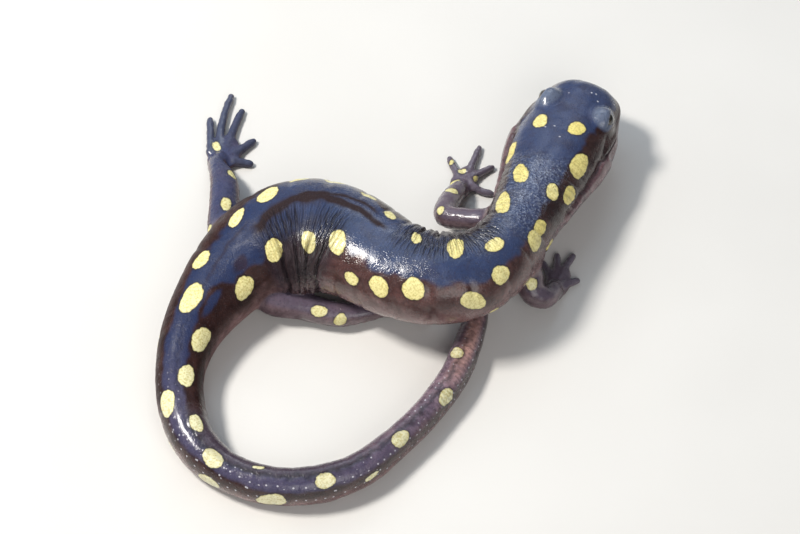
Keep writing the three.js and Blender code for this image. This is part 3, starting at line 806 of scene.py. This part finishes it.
# on the limbs: nearest point x, y, z, half sizes, turn from the limb's own line
LIMB_SPOTS = [
    (0, 8.4, 11.8, 4.8, 1.15, 0.78, 88), (0, 6.4, 6.2, 6.9, 0.8, 0.72, 0), (0, 8.8, 15.9, 1.9, 0.95, 0.55, 82),
    (0, 10.2, 18.2, 1.7, 0.66, 0.58, 40), (0, 12.6, 16.7, 1.3, 0.52, 0.48, 0), (0, 8.5, 20.3, 1.2, 0.55, 0.36, 0),
    (1, 20.5, -8.0, 6.8, 0.95, 0.9, 0), (2, -27.7, 7.2, 7.2, 1.45, 0.85, -5), (2, -27.2, 14.9, 4.9, 1.15, 0.66, -16),
    (2, -30.4, 23.3, 1.7, 1.1, 0.62, -34), (3, -9.3, -12.2, 3.0, 1.14, 0.95, -54), (3, -12.6, -11.2, 4.0, 1.25, 0.94, -8),
    (3, 1.4, -12.6, 1.6, 0.5, 0.4, 0),
]


def spot_frames():
    """Middle, two axes in the skin and half sizes of every spot."""
    C = []
    rows = SPOTS + [(None,) + r for r in LIMB_SPOTS]
    for r in rows:
        if r[0] is None:
            C.append(r[2:5])
            continue
        s, a = r[0], math.radians(r[1])
        half, top, mid, low = section(s)
        b = top - mid if math.cos(a) > 0 else mid - low
        k = 0.97
        x0, y0 = np.interp(s, TS, TX), np.interp(s, TS, TY)
        tx, ty = np.interp(s, TS, TGX), np.interp(s, TS, TGY)
        w = math.sin(a) * half * k
        C.append((x0 - ty * w, y0 + tx * w, mid + math.cos(a) * b * k))
    C = np.array(C, float)
    C = project(C, 4, 1.2)
    g, _ = gradient(C)
    Nn = g / np.linalg.norm(g, axis=1)[:, None]
    _, info = field(C, True)
    out = []
    for k, r in enumerate(rows):
        n = Nn[k]
        if r[0] is None:
            L = LIMB[r[1]]
            j = int(min(np.argmin(np.linalg.norm(L.path[:, :3] - C[k], axis=1)), len(L.path) - 2))
            t = L.path[j + 1, :3] - L.path[j, :3]
            r1, r2, rot = r[5:8]
        else:
            t = np.array([np.interp(info["s"][k], TS, TGX), np.interp(info["s"][k], TS, TGY), 0.0])
            r1, r2, rot = r[2:5]
        t = t - n * (t @ n)
        t /= np.linalg.norm(t)
        b = np.cross(t, n)
        c, sn = math.cos(math.radians(rot)), math.sin(math.radians(rot))
        out.append((C[k], t * c + b * sn, b * c - t * sn, n, r1, r2, k))
    return out


def spots(P, N):
    """Distance in mm inside the nearest spot's edge (below 0 outside), and that spot's own tint 0..1."""
    best = np.full(len(P), -3.0)
    tint = np.zeros(len(P))
    across = np.zeros(len(P))
    for C, u, v, n, r1, r2, k in spot_frames():
        q = P - C
        near = np.linalg.norm(q, axis=1) < r1 * 1.5 + 1.6
        near &= N @ n > -0.05
        q = q[near]
        a, b, h = q @ u, q @ v, q @ n
        # follow the round of the body instead of cutting straight through it
        stretch = 1 + np.clip(-h, 0, 2) * 0.25
        a, b = a * stretch, b * stretch
        th = np.arctan2(b / r2, a / r1)
        f = [math.sin(k * 12.9898 + i * 78.233) * 43758.5453 % 1 for i in range(8)]
        wob = 1 + 0.045 * np.sin(2 * th + 6.28 * f[0]) + 0.04 * np.sin(3 * th + 6.28 * f[1]) \
            + 0.02 * np.sin(5 * th + 6.28 * f[2]) + 0.018 * np.sin(11 * th + 6.28 * f[3])
        rho = (np.abs(a / r1) ** 2.15 + np.abs(b / r2) ** 2.15) ** (1 / 2.15)
        g = np.sqrt((a / r1 ** 2) ** 2 + (b / r2 ** 2) ** 2) / np.maximum(rho, 0.05) + 1e-6
        d = (wob - rho) / np.maximum(g, 1 / max(r1, r2))
        idx = np.where(near)[0]
        more = d > best[idx]
        best[idx[more]] = d[more]
        tint[idx[more]] = f[4]
        across[idx[more]] = a[more]
    return best, tint
# ---------------------------------------------------------------------------
# Blender: from here on in metres, in the CAD frame
# ---------------------------------------------------------------------------
SHIFT = np.array([-ORIGIN[0], -ORIGIN[1], 0.0])


def mesh_object(name, verts, faces, values=None):
    me = bpy.data.meshes.new(name)
    me.vertices.add(len(verts))
    me.vertices.foreach_set("co", np.ascontiguousarray(verts, np.float32).ravel())
    faces = np.asarray(faces)
    k = faces.shape[1]
    me.loops.add(faces.size)
    me.loops.foreach_set("vertex_index", faces.astype(np.int32).ravel())
    me.polygons.add(len(faces))
    me.polygons.foreach_set("loop_start", np.arange(0, faces.size, k, dtype=np.int32))
    me.update(calc_edges=True)
    for key, v in (values or {}).items():
        a = me.attributes.new(key, "FLOAT", "POINT")
        a.data.foreach_set("value", np.ascontiguousarray(v, np.float32))
    me.shade_smooth()
    ob = bpy.data.objects.new(name, me)
    bpy.context.scene.collection.objects.link(ob)
    return ob


class Net:
    """Short names for making a material's nodes."""

    def __init__(self, name):
        self.mat = bpy.data.materials.new(name)
        self.mat.use_nodes = True
        self.tree = self.mat.node_tree
        self.tree.nodes.clear()
        self.out = self.tree.nodes.new("ShaderNodeOutputMaterial")
        self.bsdf = self.tree.nodes.new("ShaderNodeBsdfPrincipled")
        self.tree.links.new(self.bsdf.outputs[0], self.out.inputs[0])
        self.coord = self.tree.nodes.new("ShaderNodeTexCoord").outputs["Object"]

    def put(self, socket, value):
        if isinstance(value, bpy.types.NodeSocket):
            self.tree.links.new(value, socket)
        elif isinstance(value, (tuple, list)) and len(value) == 3 and socket.type == "RGBA":
            socket.default_value = (*value, 1.0)
        else:
            socket.default_value = value

    def attr(self, name):
        n = self.tree.nodes.new("ShaderNodeAttribute")
        n.attribute_name = name
        return n.outputs["Fac"]

    def math(self, op, a, b=None, c=None, clamp=False):
        n = self.tree.nodes.new("ShaderNodeMath")
        n.operation = op
        n.use_clamp = clamp
        for k, v in enumerate((a, b, c)):
            if v is not None:
                self.put(n.inputs[k], v)
        return n.outputs[0]

    def step(self, v, lo, hi, to0=0.0, to1=1.0, kind="SMOOTHSTEP"):
        n = self.tree.nodes.new("ShaderNodeMapRange")
        n.interpolation_type = kind
        n.clamp = True
        if lo > hi:
            lo, hi, to0, to1 = hi, lo, to1, to0
        for k, x in zip(("Value", "From Min", "From Max", "To Min", "To Max"), (v, lo, hi, to0, to1)):
            self.put(n.inputs[k], x)
        return n.outputs["Result"]

    def mix(self, fac, a, b, how="MIX"):
        n = self.tree.nodes.new("ShaderNodeMix")
        n.data_type = "RGBA"
        n.blend_type = how
        n.clamp_factor = True
        self.put(n.inputs[0], fac)
        self.put(n.inputs[6], a)
        self.put(n.inputs[7], b)
        return n.outputs[2]

    def blend(self, fac, a, b):
        n = self.tree.nodes.new("ShaderNodeMix")
        n.data_type = "FLOAT"
        self.put(n.inputs[0], fac)
        self.put(n.inputs[2], a)
        self.put(n.inputs[3], b)
        return n.outputs[0]

    def scaled(self, x, y, z):
        n = self.tree.nodes.new("ShaderNodeMapping")
        n.inputs["Scale"].default_value = (x, y, z)
        self.put(n.inputs["Vector"], self.coord)
        return n.outputs[0]

    def vector(self, x, y, z=0.0):
        n = self.tree.nodes.new("ShaderNodeCombineXYZ")
        for k, v in enumerate((x, y, z)):
            self.put(n.inputs[k], v)
        return n.outputs[0]

    def noise(self, size_mm, detail=3.0, rough=0.55, vec=None, warp=0.0):
        """Noise whose features are about size_mm across."""
        n = self.tree.nodes.new("ShaderNodeTexNoise")
        self.put(n.inputs["Vector"], self.coord if vec is None else vec)
        n.inputs["Scale"].default_value = (1000.0 if vec is None else 1.0) / size_mm
        n.inputs["Detail"].default_value = detail
        n.inputs["Roughness"].default_value = rough
        n.inputs["Distortion"].default_value = warp
        return n.outputs["Fac"]

    def cells(self, size_mm, vec=None, feature="F1", spread=1.0, solid=False):
        n = self.tree.nodes.new("ShaderNodeTexVoronoi")
        n.feature = feature
        self.put(n.inputs["Vector"], self.coord if vec is None else vec)
        n.inputs["Scale"].default_value = (1000.0 if vec is None else 1.0) / size_mm
        if vec is not None:
            n.voronoi_dimensions = "3D" if solid else "2D"
        n.inputs["Randomness"].default_value = spread
        return n

    def bump(self, height, depth_mm, normal=None, strength=1.0):
        n = self.tree.nodes.new("ShaderNodeBump")
        n.inputs["Strength"].default_value = strength
        n.inputs["Distance"].default_value = depth_mm / 1000
        self.put(n.inputs["Height"], height)
        if normal is not None:
            self.put(n.inputs["Normal"], normal)
        return n.outputs[0]


# --- the skin -------------------------------------------------------------
G, D, T, N, info, val = build_skin(GRID)
spot, tint = spots(G, N)
ang, s, limb = val["ang"], val["s"], val["limb"]
flank = np.abs(ang)
wob = Waves(41, 4.5)(G) * 0.55 + Waves(43, 1.6)(G) * 0.45
# Edges of the slate band on the back and tail. The band is partly the animal's own slate colour and partly a painted
# sky reflection; its edges follow where that reflection lies.
EDGE_R = [(0, 60), (4, 55), (8, 38), (12, 32), (16, 29), (28, 28), (32, 32), (36, 36), (40, 37), (44, 41), (48, 40),
          (52, 36), (56, 37), (60, 34), (64, 31), (72, 28), (80, 27), (82, 32), (84.5, 37),
          (87, 37), (89, 33), (90.2, 35), (91.5, 24), (92.6, 10), (94, 7), (95.4, 11), (97, 13), (99, 21), (101.8, 16),
          (104.7, 20), (107, 18), (110.5, 8), (113, 7), (117, 2), (122, 0), (128, -5), (140, -2), (150, 0), (158, 6), (188, 15)]
EDGE_L = [(0, 55), (12, 60), (20, 53), (24, 44), (28, 42), (32, 36), (36, 32), (48, 29), (54, 40), (58, 46), (62, 38),
          (66, 42), (70, 52), (74, 46), (80, 38), (84, 30), (86.3, 25), (88, 30), (91.7, 36), (95, 32), (98.5, 29), (101, 36), (105, 37), (109.5, 43), (116, 44),
          (124, 42), (128, 50), (136, 57), (150, 53), (156, 42), (164, 34), (188, 30)]
MID_LINE = [(62.4, -13), (64, -15), (69.6, -14), (71.6, -15), (73, -11.5), (75.6, -10.5), (77.1, -7), (78.8, -3), (81, 4)]
SIDE_LINE = [(64, -25), (66, -27), (68.6, -25), (70.5, -20.5), (73, -18.5), (75, -15)]
ROW_A = [(100, -22), (116, -20), (122, -18), (128, -22), (134, -32), (140, -38), (150, -38), (157, -45), (188, -48)]
ROW_B = [(100, -52), (116, -44), (120, -52), (123, -62), (127, -68), (137, -82), (142, -82), (150, -76), (188, -74)]
ROW_C = [(92, 30), (120, 24), (150, 22), (164, 20), (188, 20)]
edge_r, edge_l = curve_at(EDGE_R, s), curve_at(EDGE_L, s)
turned = ang > np.where(s > 110, -25, 0)
slate_and_sky_sheen = np.where(turned, smooth01(4, -4, ang - edge_r - 4 * wob), smooth01(5, -5, -ang - edge_l - 5 * wob))
patch = np.sqrt(((s - 95.2) / 2.5) ** 2 + ((ang - 25 + 2 * wob) / 6.5) ** 2)
slate_and_sky_sheen = np.maximum(slate_and_sky_sheen, 0.9 * smooth01(1.3, 0.8, patch))
smudge = np.sqrt(((s - 87.6) / 1.5) ** 2 + ((ang - 20) / 9) ** 2)
slate_and_sky_sheen *= 1 - 0.6 * smooth01(1.2, 0.5, smudge + 0.5 * wob)
mid_line = np.clip(1.7 * gauss(ang - curve_at(MID_LINE, s) + 1.8 * wob, 3.2 + 2.6 * smooth01(67, 72, s)), 0, 1) * window(s, 61.5, 81, 2.0)
mid_line = np.maximum(mid_line, 0.5 * gauss(ang - np.interp(s, [84, 87, 90, 95], [-8, -5, -3, -2]) + 2.0 * wob, 2.6) * window(s, 83.5, 94, 2.0))
mid_line = np.maximum(mid_line, np.clip(1.4 * gauss(ang - curve_at(SIDE_LINE, s) + 1.2 * wob, 2.6), 0, 1) * window(s, 64.5, 74, 2.0))
round_mm = np.interp(s, TS, 0.5 * (GT[:, 0] + 0.5 * (GT[:, 1] - GT[:, 3]))) * math.pi / 180
low = smooth01(66, 112, flank + 9 * wob)
inner_bend = smooth01(-4, 16, ang * np.sign(soft_bend(s))) * smooth01(0.012, 0.05, np.abs(soft_bend(s))) * window(s, 40, 81, 4)
# nape: region of the nape, for its relief and its painted sheen
nape = window(s, 24, 33, 6) * window(ang, -42, 26, 14)
values = dict(
    nape=nape, top=smooth01(0.35, 0.9, N[:, 2]), along=s, round=ang, arc=val["arc"], limb=limb, t=info["t"], foot=info["foot"], toe=val["toe"], throat=val["throat"],
    lip=val["lip"], crack=val["wmask"] * gauss((val["wphase"] % 1) - 0.5, 0.16), sparkle=val["wmask"],
    fold=val["fold"], folds=val["foldmask"], ring=val["rmask"] * gauss((val["rphase"] % 1) - 0.5, 0.22), ridge=val["ridge"],
    lid=val["lid"], inner=val["inner"], dome=val["dome"], pore=val["pore"], crease=val["crease"], spot=spot, tint=tint,
    rowa=(ang - curve_at(ROW_A, s)) * round_mm, rowb=(ang - curve_at(ROW_B, s)) * round_mm, rowc=(ang - curve_at(ROW_C, s)) * round_mm,
    shade=smooth01(-44, -66, ang) * smooth01(120, 134, s), hind=(info["which"] == 2) * 1.0,
    dull=np.clip(window(s, 79, 110, 7) + 0.75 * window(s, 4, 19, 4) * window(ang, -40, 40, 10) + 0.8 * window(s, 71, 82, 3) * window(ang, -14, 22, 8), 0, 1) * (1 - 0.9 * val["dome"]),
    # lit: where the sides get painted light, on the flank of the trunk
    strip=smooth01(-6, 6, ang) * smooth01(100, 60, ang) * window(s, 119, 172, 6), lit=window(s, 38, 63, 8) * smooth01(-20, 30, ang),
    slate_and_sky_sheen=np.maximum(slate_and_sky_sheen, val["dome"]) * (1 - smooth01(0.35, 0.8, limb)), midline=mid_line, low=low, bend=inner_bend)
skin = mesh_object("skin", (D + SHIFT) / 1000, T, values)
flesh = [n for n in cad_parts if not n.startswith("eye_")]
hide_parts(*flesh)
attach(skin, "root")


def skin_material():
    m = Net("salamander_skin")
    a = {k: m.attr(k) for k in values}
    grain = m.noise(0.32, 4, 0.6)
    fine = m.noise(0.14, 3, 0.6)
    blot = m.noise(2.6, 4, 0.62, warp=0.3)
    slow = m.noise(7.0, 3, 0.5)
    # ground colours: slate on the back, partly its own colour and partly a painted sky reflection; plum-brown on the
    # sides, grey-violet below
    back = m.mix(m.step(slow, 0.35, 0.65), (0.028, 0.044, 0.108), (0.045, 0.061, 0.130))
    back = m.mix(m.step(blot, 0.4, 0.72, 0, 0.7), back, (0.036, 0.038, 0.072))
    behind = m.mix(m.step(blot, 0.36, 0.70), (0.056, 0.050, 0.098), (0.080, 0.070, 0.122))
    back = m.mix(m.step(a["along"], 86, 118), back, behind)
    # painted shade: the back over the hips and the root of the tail darker and bluer
    hip_painted_shade = m.math("MULTIPLY", m.step(a["along"], 76, 84), m.step(a["along"], 114, 102))
    back = m.mix(m.math("MULTIPLY", hip_painted_shade, 0.72), back, (0.014, 0.024, 0.072))
    # the sides: dark plum-brown, with a lighter copy painted on as light along the flank of the trunk
    side = m.mix(m.step(blot, 0.36, 0.68), (0.0205, 0.0080, 0.0075), (0.047, 0.021, 0.019))
    side_painted_lit = m.mix(m.step(blot, 0.36, 0.68), (0.048, 0.021, 0.019), (0.104, 0.047, 0.043))
    side = m.mix(a["lit"], side, side_painted_lit)
    belly = m.mix(m.step(blot, 0.35, 0.7), (0.150, 0.080, 0.078), (0.250, 0.150, 0.150))
    c = m.mix(a["low"], side, belly)
    # the slate band: own colour and painted sky reflection
    c = m.mix(a["slate_and_sky_sheen"], c, back)
    bunch = m.mix(a["folds"], (0.022, 0.024, 0.046), (0.046, 0.034, 0.041))
    c = m.mix(m.math("MULTIPLY", a["bend"], m.step(blot, 0.3, 0.7, 0.35, 0.85)), c, bunch)
    c = m.mix(m.math("MULTIPLY", a["strip"], 0.85), c, (0.064, 0.047, 0.070))
    c = m.mix(m.math("MULTIPLY", a["midline"], 0.96), c, (0.026, 0.014, 0.013))
    c = m.mix(m.math("MULTIPLY", a["throat"], 0.92), c, m.mix(m.step(blot, 0.35, 0.7), (0.110, 0.058, 0.066), (0.200, 0.120, 0.132)))
    # the tops of the lid domes paler: partly the thin lid skin, partly a painted sheen
    c = m.mix(m.math("MULTIPLY", a["dome"], 0.85), c, (0.122, 0.148, 0.215))
    lilac = m.mix(m.step(blot, 0.35, 0.7), (0.185, 0.125, 0.165), (0.340, 0.235, 0.285))
    dusk = m.math("SUBTRACT", 1.0, m.math("MULTIPLY", a["shade"], 0.95))
    c = m.mix(m.math("MULTIPLY", m.step(a["along"], 136, 172, 0, 0.85), dusk), c, lilac)
    # a rosy top to the tail tip, partly its own tone and partly painted light where the trunk shades it
    rosy_and_painted_light = m.math("MULTIPLY", m.step(a["along"], 162, 172), m.step(m.math("ABSOLUTE", m.math("ADD", a["round"], 12.0)), 42, 14))
    c = m.mix(m.math("MULTIPLY", rosy_and_painted_light, m.step(blot, 0.35, 0.6, 0.5, 0.9)), c, (0.560, 0.330, 0.290))
    legs = m.mix(m.step(blot, 0.35, 0.7), (0.085, 0.056, 0.068), (0.175, 0.125, 0.142))
    upper = m.mix(a["hind"], (0.100, 0.080, 0.118), (0.036, 0.052, 0.120))
    legs = m.mix(m.math("MULTIPLY", m.step(a["top"], 0.0, 0.7), m.step(slow, 0.3, 0.6, 0.7, 1.0)), legs, upper)
    legs = m.mix(m.math("MULTIPLY", a["hind"], m.step(a["t"], 0.42, 0.10, 0.0, 0.8)), legs, (0.165, 0.170, 0.232))
    c = m.mix(m.step(a["limb"], 0.3, 0.8, 0, 0.9), c, legs)
    c = m.mix(m.math("MULTIPLY", a["toe"], 0.75), c, m.mix(a["hind"], (0.125, 0.105, 0.140), (0.056, 0.066, 0.112)))
    # grain of the skin: tiny dark and light points
    c = m.mix(m.step(grain, 0.30, 0.48, 0.45, 0.0), c, (0.016, 0.014, 0.020))
    c = m.mix(m.step(fine, 0.60, 0.80, 0.0, 0.38), c, (0.26, 0.27, 0.34))
    # pale flecks: close rows along the tail, a scatter on the head
    dots = 0.0
    for key, seed in (("rowa", 0.65), ("rowb", 13.65), ("rowc", 26.65)):
        lane = m.cells(1.3, vec=m.vector(m.math("ADD", a["along"], seed), m.math("ADD", a[key], seed)), spread=0.42)
        row = m.step(m.math("ABSOLUTE", a[key]), 0.62, 0.56)
        far = m.math("MULTIPLY", m.step(m.math("ABSOLUTE", a[key]), 2.0, 1.6), m.step(m.noise(3.5, 1, 0.5), 0.60, 0.64))
        one = m.math("MULTIPLY", m.step(lane.outputs["Distance"], 0.135, 0.07), m.math("MAXIMUM", row, far))
        if key == "rowc":
            one = m.math("MULTIPLY", one, m.step(a["along"], 154, 160))
        dots = one if key == "rowa" else m.math("MAXIMUM", dots, one)
    dots = m.math("MULTIPLY", dots, m.math("MULTIPLY", m.step(a["along"], 99, 128, 0.0, 1.0), m.step(a["along"], 179, 176)))
    stray = m.cells(1.9, vec=m.vector(a["along"], a["arc"], 7.0))
    some = m.math("MULTIPLY", m.step(stray.outputs["Distance"], 0.085, 0.05), m.math("MULTIPLY", m.step(m.noise(4.0, 1, 0.5), 0.53, 0.60), m.step(a["along"], 22, 18)))
    some = m.math("MULTIPLY", some, m.step(a["top"], 0.3, 0.6))
    pale = m.math("MULTIPLY", m.math("MAXIMUM", dots, some), m.step(a["limb"], 0.3, 0.1, 0.0, 0.75))
    c = m.mix(pale, c, (0.62, 0.62, 0.68))
    # painted sheen: pale grains on the nape
    c = m.mix(m.math("MULTIPLY", a["nape"], m.step(m.noise(0.36, 3, 0.6), 0.46, 0.68, 0.0, 0.68)), c, (0.215, 0.250, 0.345))
    # dark lines: painted shade in the fine wrinkles, cracks, folds, mouth line, rings, nape creases and nostrils; and
    # the dark line down the tail
    fines = m.math("SINE", m.math("MULTIPLY", m.math("ADD", a["along"], m.math("MULTIPLY", m.noise(1.4, 2, 0.5), 0.55)), 14.0))
    c = m.mix(m.math("MULTIPLY", m.step(fines, 0.1, -0.9, 0, 0.62), a["sparkle"]), c, (0.010, 0.009, 0.013))
    for key, k in (("crack", 0.88), ("fold", 0.72), ("lip", 0.85), ("ring", 0.45), ("ridge", 0.72), ("crease", 0.35), ("pore", 0.95)):
        c = m.mix(m.math("MULTIPLY", a[key], k, clamp=True), c, (0.012, 0.009, 0.012))
    c = m.mix(m.math("MULTIPLY", a["lid"], 0.35), c, (0.16, 0.17, 0.22))
    # painted shade in the opening round the eyeball
    c = m.mix(a["inner"], c, (0.010, 0.007, 0.007))
    # spots: a dark rim, then grainy yellow, deeper on the head and paler behind
    rag = m.math("MULTIPLY_ADD", m.math("SUBTRACT", m.noise(0.42, 3, 0.6), 0.5), 0.34, a["spot"])
    c = m.mix(m.math("MULTIPLY", m.step(rag, -0.42, -0.08), 0.55), c, (0.020, 0.016, 0.016))
    yellow = m.mix(m.step(a["along"], 14, 62), (0.79, 0.67, 0.20), (0.82, 0.74, 0.33))
    yellow = m.mix(m.step(a["along"], 86, 120), yellow, (0.75, 0.73, 0.49))
    yellow = m.mix(m.step(a["limb"], 0.3, 0.8, 0, 0.55), yellow, (0.62, 0.60, 0.32))
    yellow = m.mix(m.math("MULTIPLY", a["tint"], 0.35), yellow, (0.86, 0.84, 0.56))
    yellow = m.mix(m.step(grain, 0.38, 0.56, 0.62, 0.0), yellow, (0.46, 0.38, 0.11))
    yellow = m.mix(m.step(m.noise(0.9, 3, 0.6), 0.3, 0.5, 0.25, 0.0), yellow, (0.60, 0.52, 0.20))
    yellow = m.mix(m.step(rag, 0.30, 0.02, 0.0, 0.38), yellow, (0.46, 0.40, 0.13))
    # painted shade where cracks, folds, rings and creases cross the spots; and the dark line down the tail
    for key, k in (("crack", 0.75), ("fold", 0.7), ("ring", 0.4), ("crease", 0.3), ("ridge", 0.4)):
        yellow = m.mix(m.math("MULTIPLY", a[key], k, clamp=True), yellow, (0.13, 0.10, 0.035))
    inside = m.step(rag, -0.07, 0.07)
    c = m.mix(inside, c, yellow)
    m.put(m.bsdf.inputs["Base Color"], c)
    # wet skin: glossy with dull patches; the spots are a little drier
    rough = m.blend(m.step(m.noise(1.7, 3, 0.6), 0.3, 0.7), 0.14, 0.32)
    rough = m.math("ADD", rough, m.math("MULTIPLY", a["dull"], 0.17))
    rough = m.math("ADD", rough, m.math("MULTIPLY", a["midline"], 0.22))
    rough = m.blend(m.math("MAXIMUM", a["dome"], m.math("MULTIPLY", a["limb"], 0.5)), rough, 0.17)
    rough = m.math("ADD", rough, m.math("MULTIPLY", inside, 0.10))
    m.put(m.bsdf.inputs["Roughness"], rough)
    m.put(m.bsdf.inputs["Specular IOR Level"], m.blend(m.math("MAXIMUM", a["midline"], a["dull"]), 0.55, 0.14))
    m.bsdf.inputs["IOR"].default_value = 1.42
    m.put(m.bsdf.inputs["Coat Weight"], m.blend(m.math("MAXIMUM", a["midline"], a["dull"]), 0.42, 0.02))
    m.bsdf.inputs["Coat Roughness"].default_value = 0.16
    m.bsdf.inputs["Coat IOR"].default_value = 1.36
    m.bsdf.inputs["Subsurface Weight"].default_value = 0.06
    m.bsdf.inputs["Subsurface Scale"].default_value = 0.0006
    m.bsdf.inputs["Subsurface Radius"].default_value = (1.0, 0.5, 0.35)
    # relief finer than the mesh: gland grain, pebbling and hair cracks
    peb = m.cells(0.30)
    relief = m.math("MULTIPLY_ADD", m.step(peb.outputs["Distance"], 0.0, 0.6, 1.0, 0.0), 0.6, m.math("MULTIPLY", grain, 0.9))
    relief = m.math("MULTIPLY", relief, m.blend(m.step(blot, 0.35, 0.65), 0.55, 1.0))
    b1 = m.bump(relief, 0.042)
    b2 = m.bump(m.noise(0.9, 3, 0.6), 0.10, b1)
    napes = m.cells(0.46, vec=m.scaled(1000.0, 1000.0, 1000.0), solid=True)
    b2 = m.bump(m.math("MULTIPLY", m.step(napes.outputs["Distance"], 0.0, 0.55, 1.0, 0.0), a["nape"]), 0.10, b2)
    b3 = m.bump(m.math("MULTIPLY", fines, a["sparkle"]), 0.045, b2)
    m.put(m.bsdf.inputs["Normal"], b3)
    return m.mat


skin.data.materials.append(skin_material())


# --- eyes -----------------------------------------------------------------
def eye_object(name, centre, fore, out, up):
    """A dark globe with a glossy swelling in front, ringed by the iris."""
    rings, turns = 44, 64
    th = np.linspace(0, math.pi, rings + 1)[1:-1]
    ph = np.arange(turns) * 2 * math.pi / turns
    bulge = 0.19 * (1 - smooth01(0.0, 0.95, th))
    r = EYE["r"] + bulge
    z, q = np.cos(th) * r, np.sin(th) * r
    pts = [out * (EYE["r"] + 0.19)]
    for k in range(len(th)):
        pts += [out * z[k] + fore * q[k] * math.cos(p) + up * q[k] * math.sin(p) for p in ph]
    pts.append(-out * EYE["r"])
    V = np.array(pts)
    F = []
    for k in range(len(th) - 1):
        a0, b0 = 1 + k * turns, 1 + (k + 1) * turns
        for j in range(turns):
            j1 = (j + 1) % turns
            F += [(a0 + j, b0 + j, b0 + j1), (a0 + j, b0 + j1, a0 + j1)]
    last = 1 + (len(th) - 1) * turns
    for j in range(turns):
        j1 = (j + 1) % turns
        F += [(0, 1 + j, 1 + j1), (last + j, len(V) - 1, last + j1)]
    F = np.array(F)
    nrm = np.cross(V[F[:, 1]] - V[F[:, 0]], V[F[:, 2]] - V[F[:, 0]])
    if (nrm * V[F].mean(1)).sum() < 0:
        F = F[:, ::-1]
    polar = np.degrees(np.arccos(np.clip((V @ out) / np.linalg.norm(V, axis=1), -1, 1)))
    turn = np.arctan2(V @ up, V @ fore)
    ob = mesh_object(name, (V + centre + SHIFT) / 1000, F, dict(polar=polar, turn=turn))
    return ob


def eye_material():
    m = Net("salamander_eye")
    polar, turn = m.attr("polar"), m.attr("turn")
    streak = m.noise(0.5, 3, 0.6, vec=m.vector(m.math("MULTIPLY", m.math("COSINE", turn), 3.0),
                                               m.math("MULTIPLY", m.math("SINE", turn), 3.0), m.math("MULTIPLY", polar, 0.02)))
    iris = m.mix(m.step(streak, 0.42, 0.68), (0.012, 0.009, 0.008), (0.060, 0.043, 0.020))
    flecks = m.step(m.noise(0.10, 2, 0.5), 0.60, 0.74)
    iris = m.mix(m.math("MULTIPLY", flecks, 0.55), iris, (0.30, 0.24, 0.11))
    c = m.mix(m.step(polar, 23, 26), (0.0015, 0.0015, 0.002), iris)
    c = m.mix(m.step(polar, 48, 58), c, (0.008, 0.007, 0.008))
    m.put(m.bsdf.inputs["Base Color"], c)
    m.put(m.bsdf.inputs["Roughness"], m.step(m.noise(0.4, 2, 0.5), 0.3, 0.7, 0.05, 0.09))
    m.bsdf.inputs["IOR"].default_value = 1.42
    m.bsdf.inputs["Specular IOR Level"].default_value = 0.6
    m.bsdf.inputs["Coat Weight"].default_value = 1.0
    m.bsdf.inputs["Coat Roughness"].default_value = 0.02
    m.put(m.bsdf.inputs["Normal"], m.bump(m.noise(0.35, 2, 0.5), 0.006))
    return m.mat


glass = eye_material()
for side_name, f in zip(("left", "right"), EYE_FRAMES):
    ob = eye_object("eyeball_" + side_name, *f)
    ob.data.materials.append(glass)
    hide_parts("eye_" + side_name)
    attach(ob, "root")


# --- floor ----------------------------------------------------------------
def floor_material():
    m = Net("studio_floor")
    c = m.mix(m.step(m.noise(60.0, 3, 0.5), 0.3, 0.7), (0.66, 0.65, 0.63), (0.70, 0.69, 0.67))
    m.put(m.bsdf.inputs["Base Color"], c)
    m.put(m.bsdf.inputs["Roughness"], m.step(m.noise(4.0, 2, 0.5), 0.3, 0.7, 0.62, 0.72))
    m.bsdf.inputs["Specular IOR Level"].default_value = 0.25
    m.put(m.bsdf.inputs["Normal"], m.bump(m.noise(0.6, 2, 0.5), 0.01))
    return m.mat


R = 3.0
floor = mesh_object("floor", np.array([(-R, -R, -0.00003), (R, -R, -0.00003), (R, R, -0.00003), (-R, R, -0.00003)]), np.array([(0, 1, 2, 3)]))
floor.data.materials.append(floor_material())

# --- camera: 55 degrees above the floor, as far off as the picture's perspective asks
cam_data = bpy.data.cameras.new("camera")
cam = bpy.data.objects.new("camera", cam_data)
bpy.context.scene.collection.objects.link(cam)
cam_data.lens, cam_data.sensor_width, cam_data.clip_start, cam_data.clip_end = 100.0, 36.0, 0.01, 20.0
FAR, UP = 0.35556, math.radians(55)
aim = SHIFT / 1000
cam.location = (aim[0], aim[1] - FAR * math.cos(UP), FAR * math.sin(UP))
cam.rotation_euler = (math.pi / 2 - UP, 0, 0)
bpy.context.scene.camera = cam


# --- light: an overcast studio, one broad window from the back left
def softbox(name, at, to, size, power, colour):
    d = bpy.data.lights.new(name, "AREA")
    d.shape = "RECTANGLE"
    d.size, d.size_y = size
    d.energy = power
    d.color = colour
    o = bpy.data.objects.new(name, d)
    bpy.context.scene.collection.objects.link(o)
    o.location = at
    v = np.array(to) - np.array(at)
    yaw = math.atan2(v[1], v[0])
    pitch = math.atan2(-v[2], math.hypot(v[0], v[1]))
    o.rotation_euler = (math.pi / 2 - pitch, 0, yaw - math.pi / 2)
    return o


softbox("window", (-0.282, 0.040, 0.423), (-0.01, 0.0, 0.0), (0.104, 0.086), 2.8, (1.0, 0.955, 0.89))
softbox("sky", (-0.20, 0.36, 0.50), (0.0, 0.0, 0.0), (0.74, 0.54), 1.3, (0.66, 0.83, 1.0))
softbox("rim", (0.08, 0.46, 0.34), (0.0, 0.0, 0.0), (0.26, 0.09), 0.3, (0.92, 0.96, 1.0))
softbox("fill", (0.16, -0.50, 0.36), (0.0, 0.0, 0.0), (0.5, 0.4), 1.7, (1.0, 0.97, 0.94))
world = bpy.data.worlds.new("studio")
bpy.context.scene.world = world
world.use_nodes = True
world.node_tree.nodes["Background"].inputs["Color"].default_value = (0.86, 0.92, 1.0, 1.0)
world.node_tree.nodes["Background"].inputs["Strength"].default_value = 0.2
bpy.context.scene.view_settings.view_transform = "Standard"
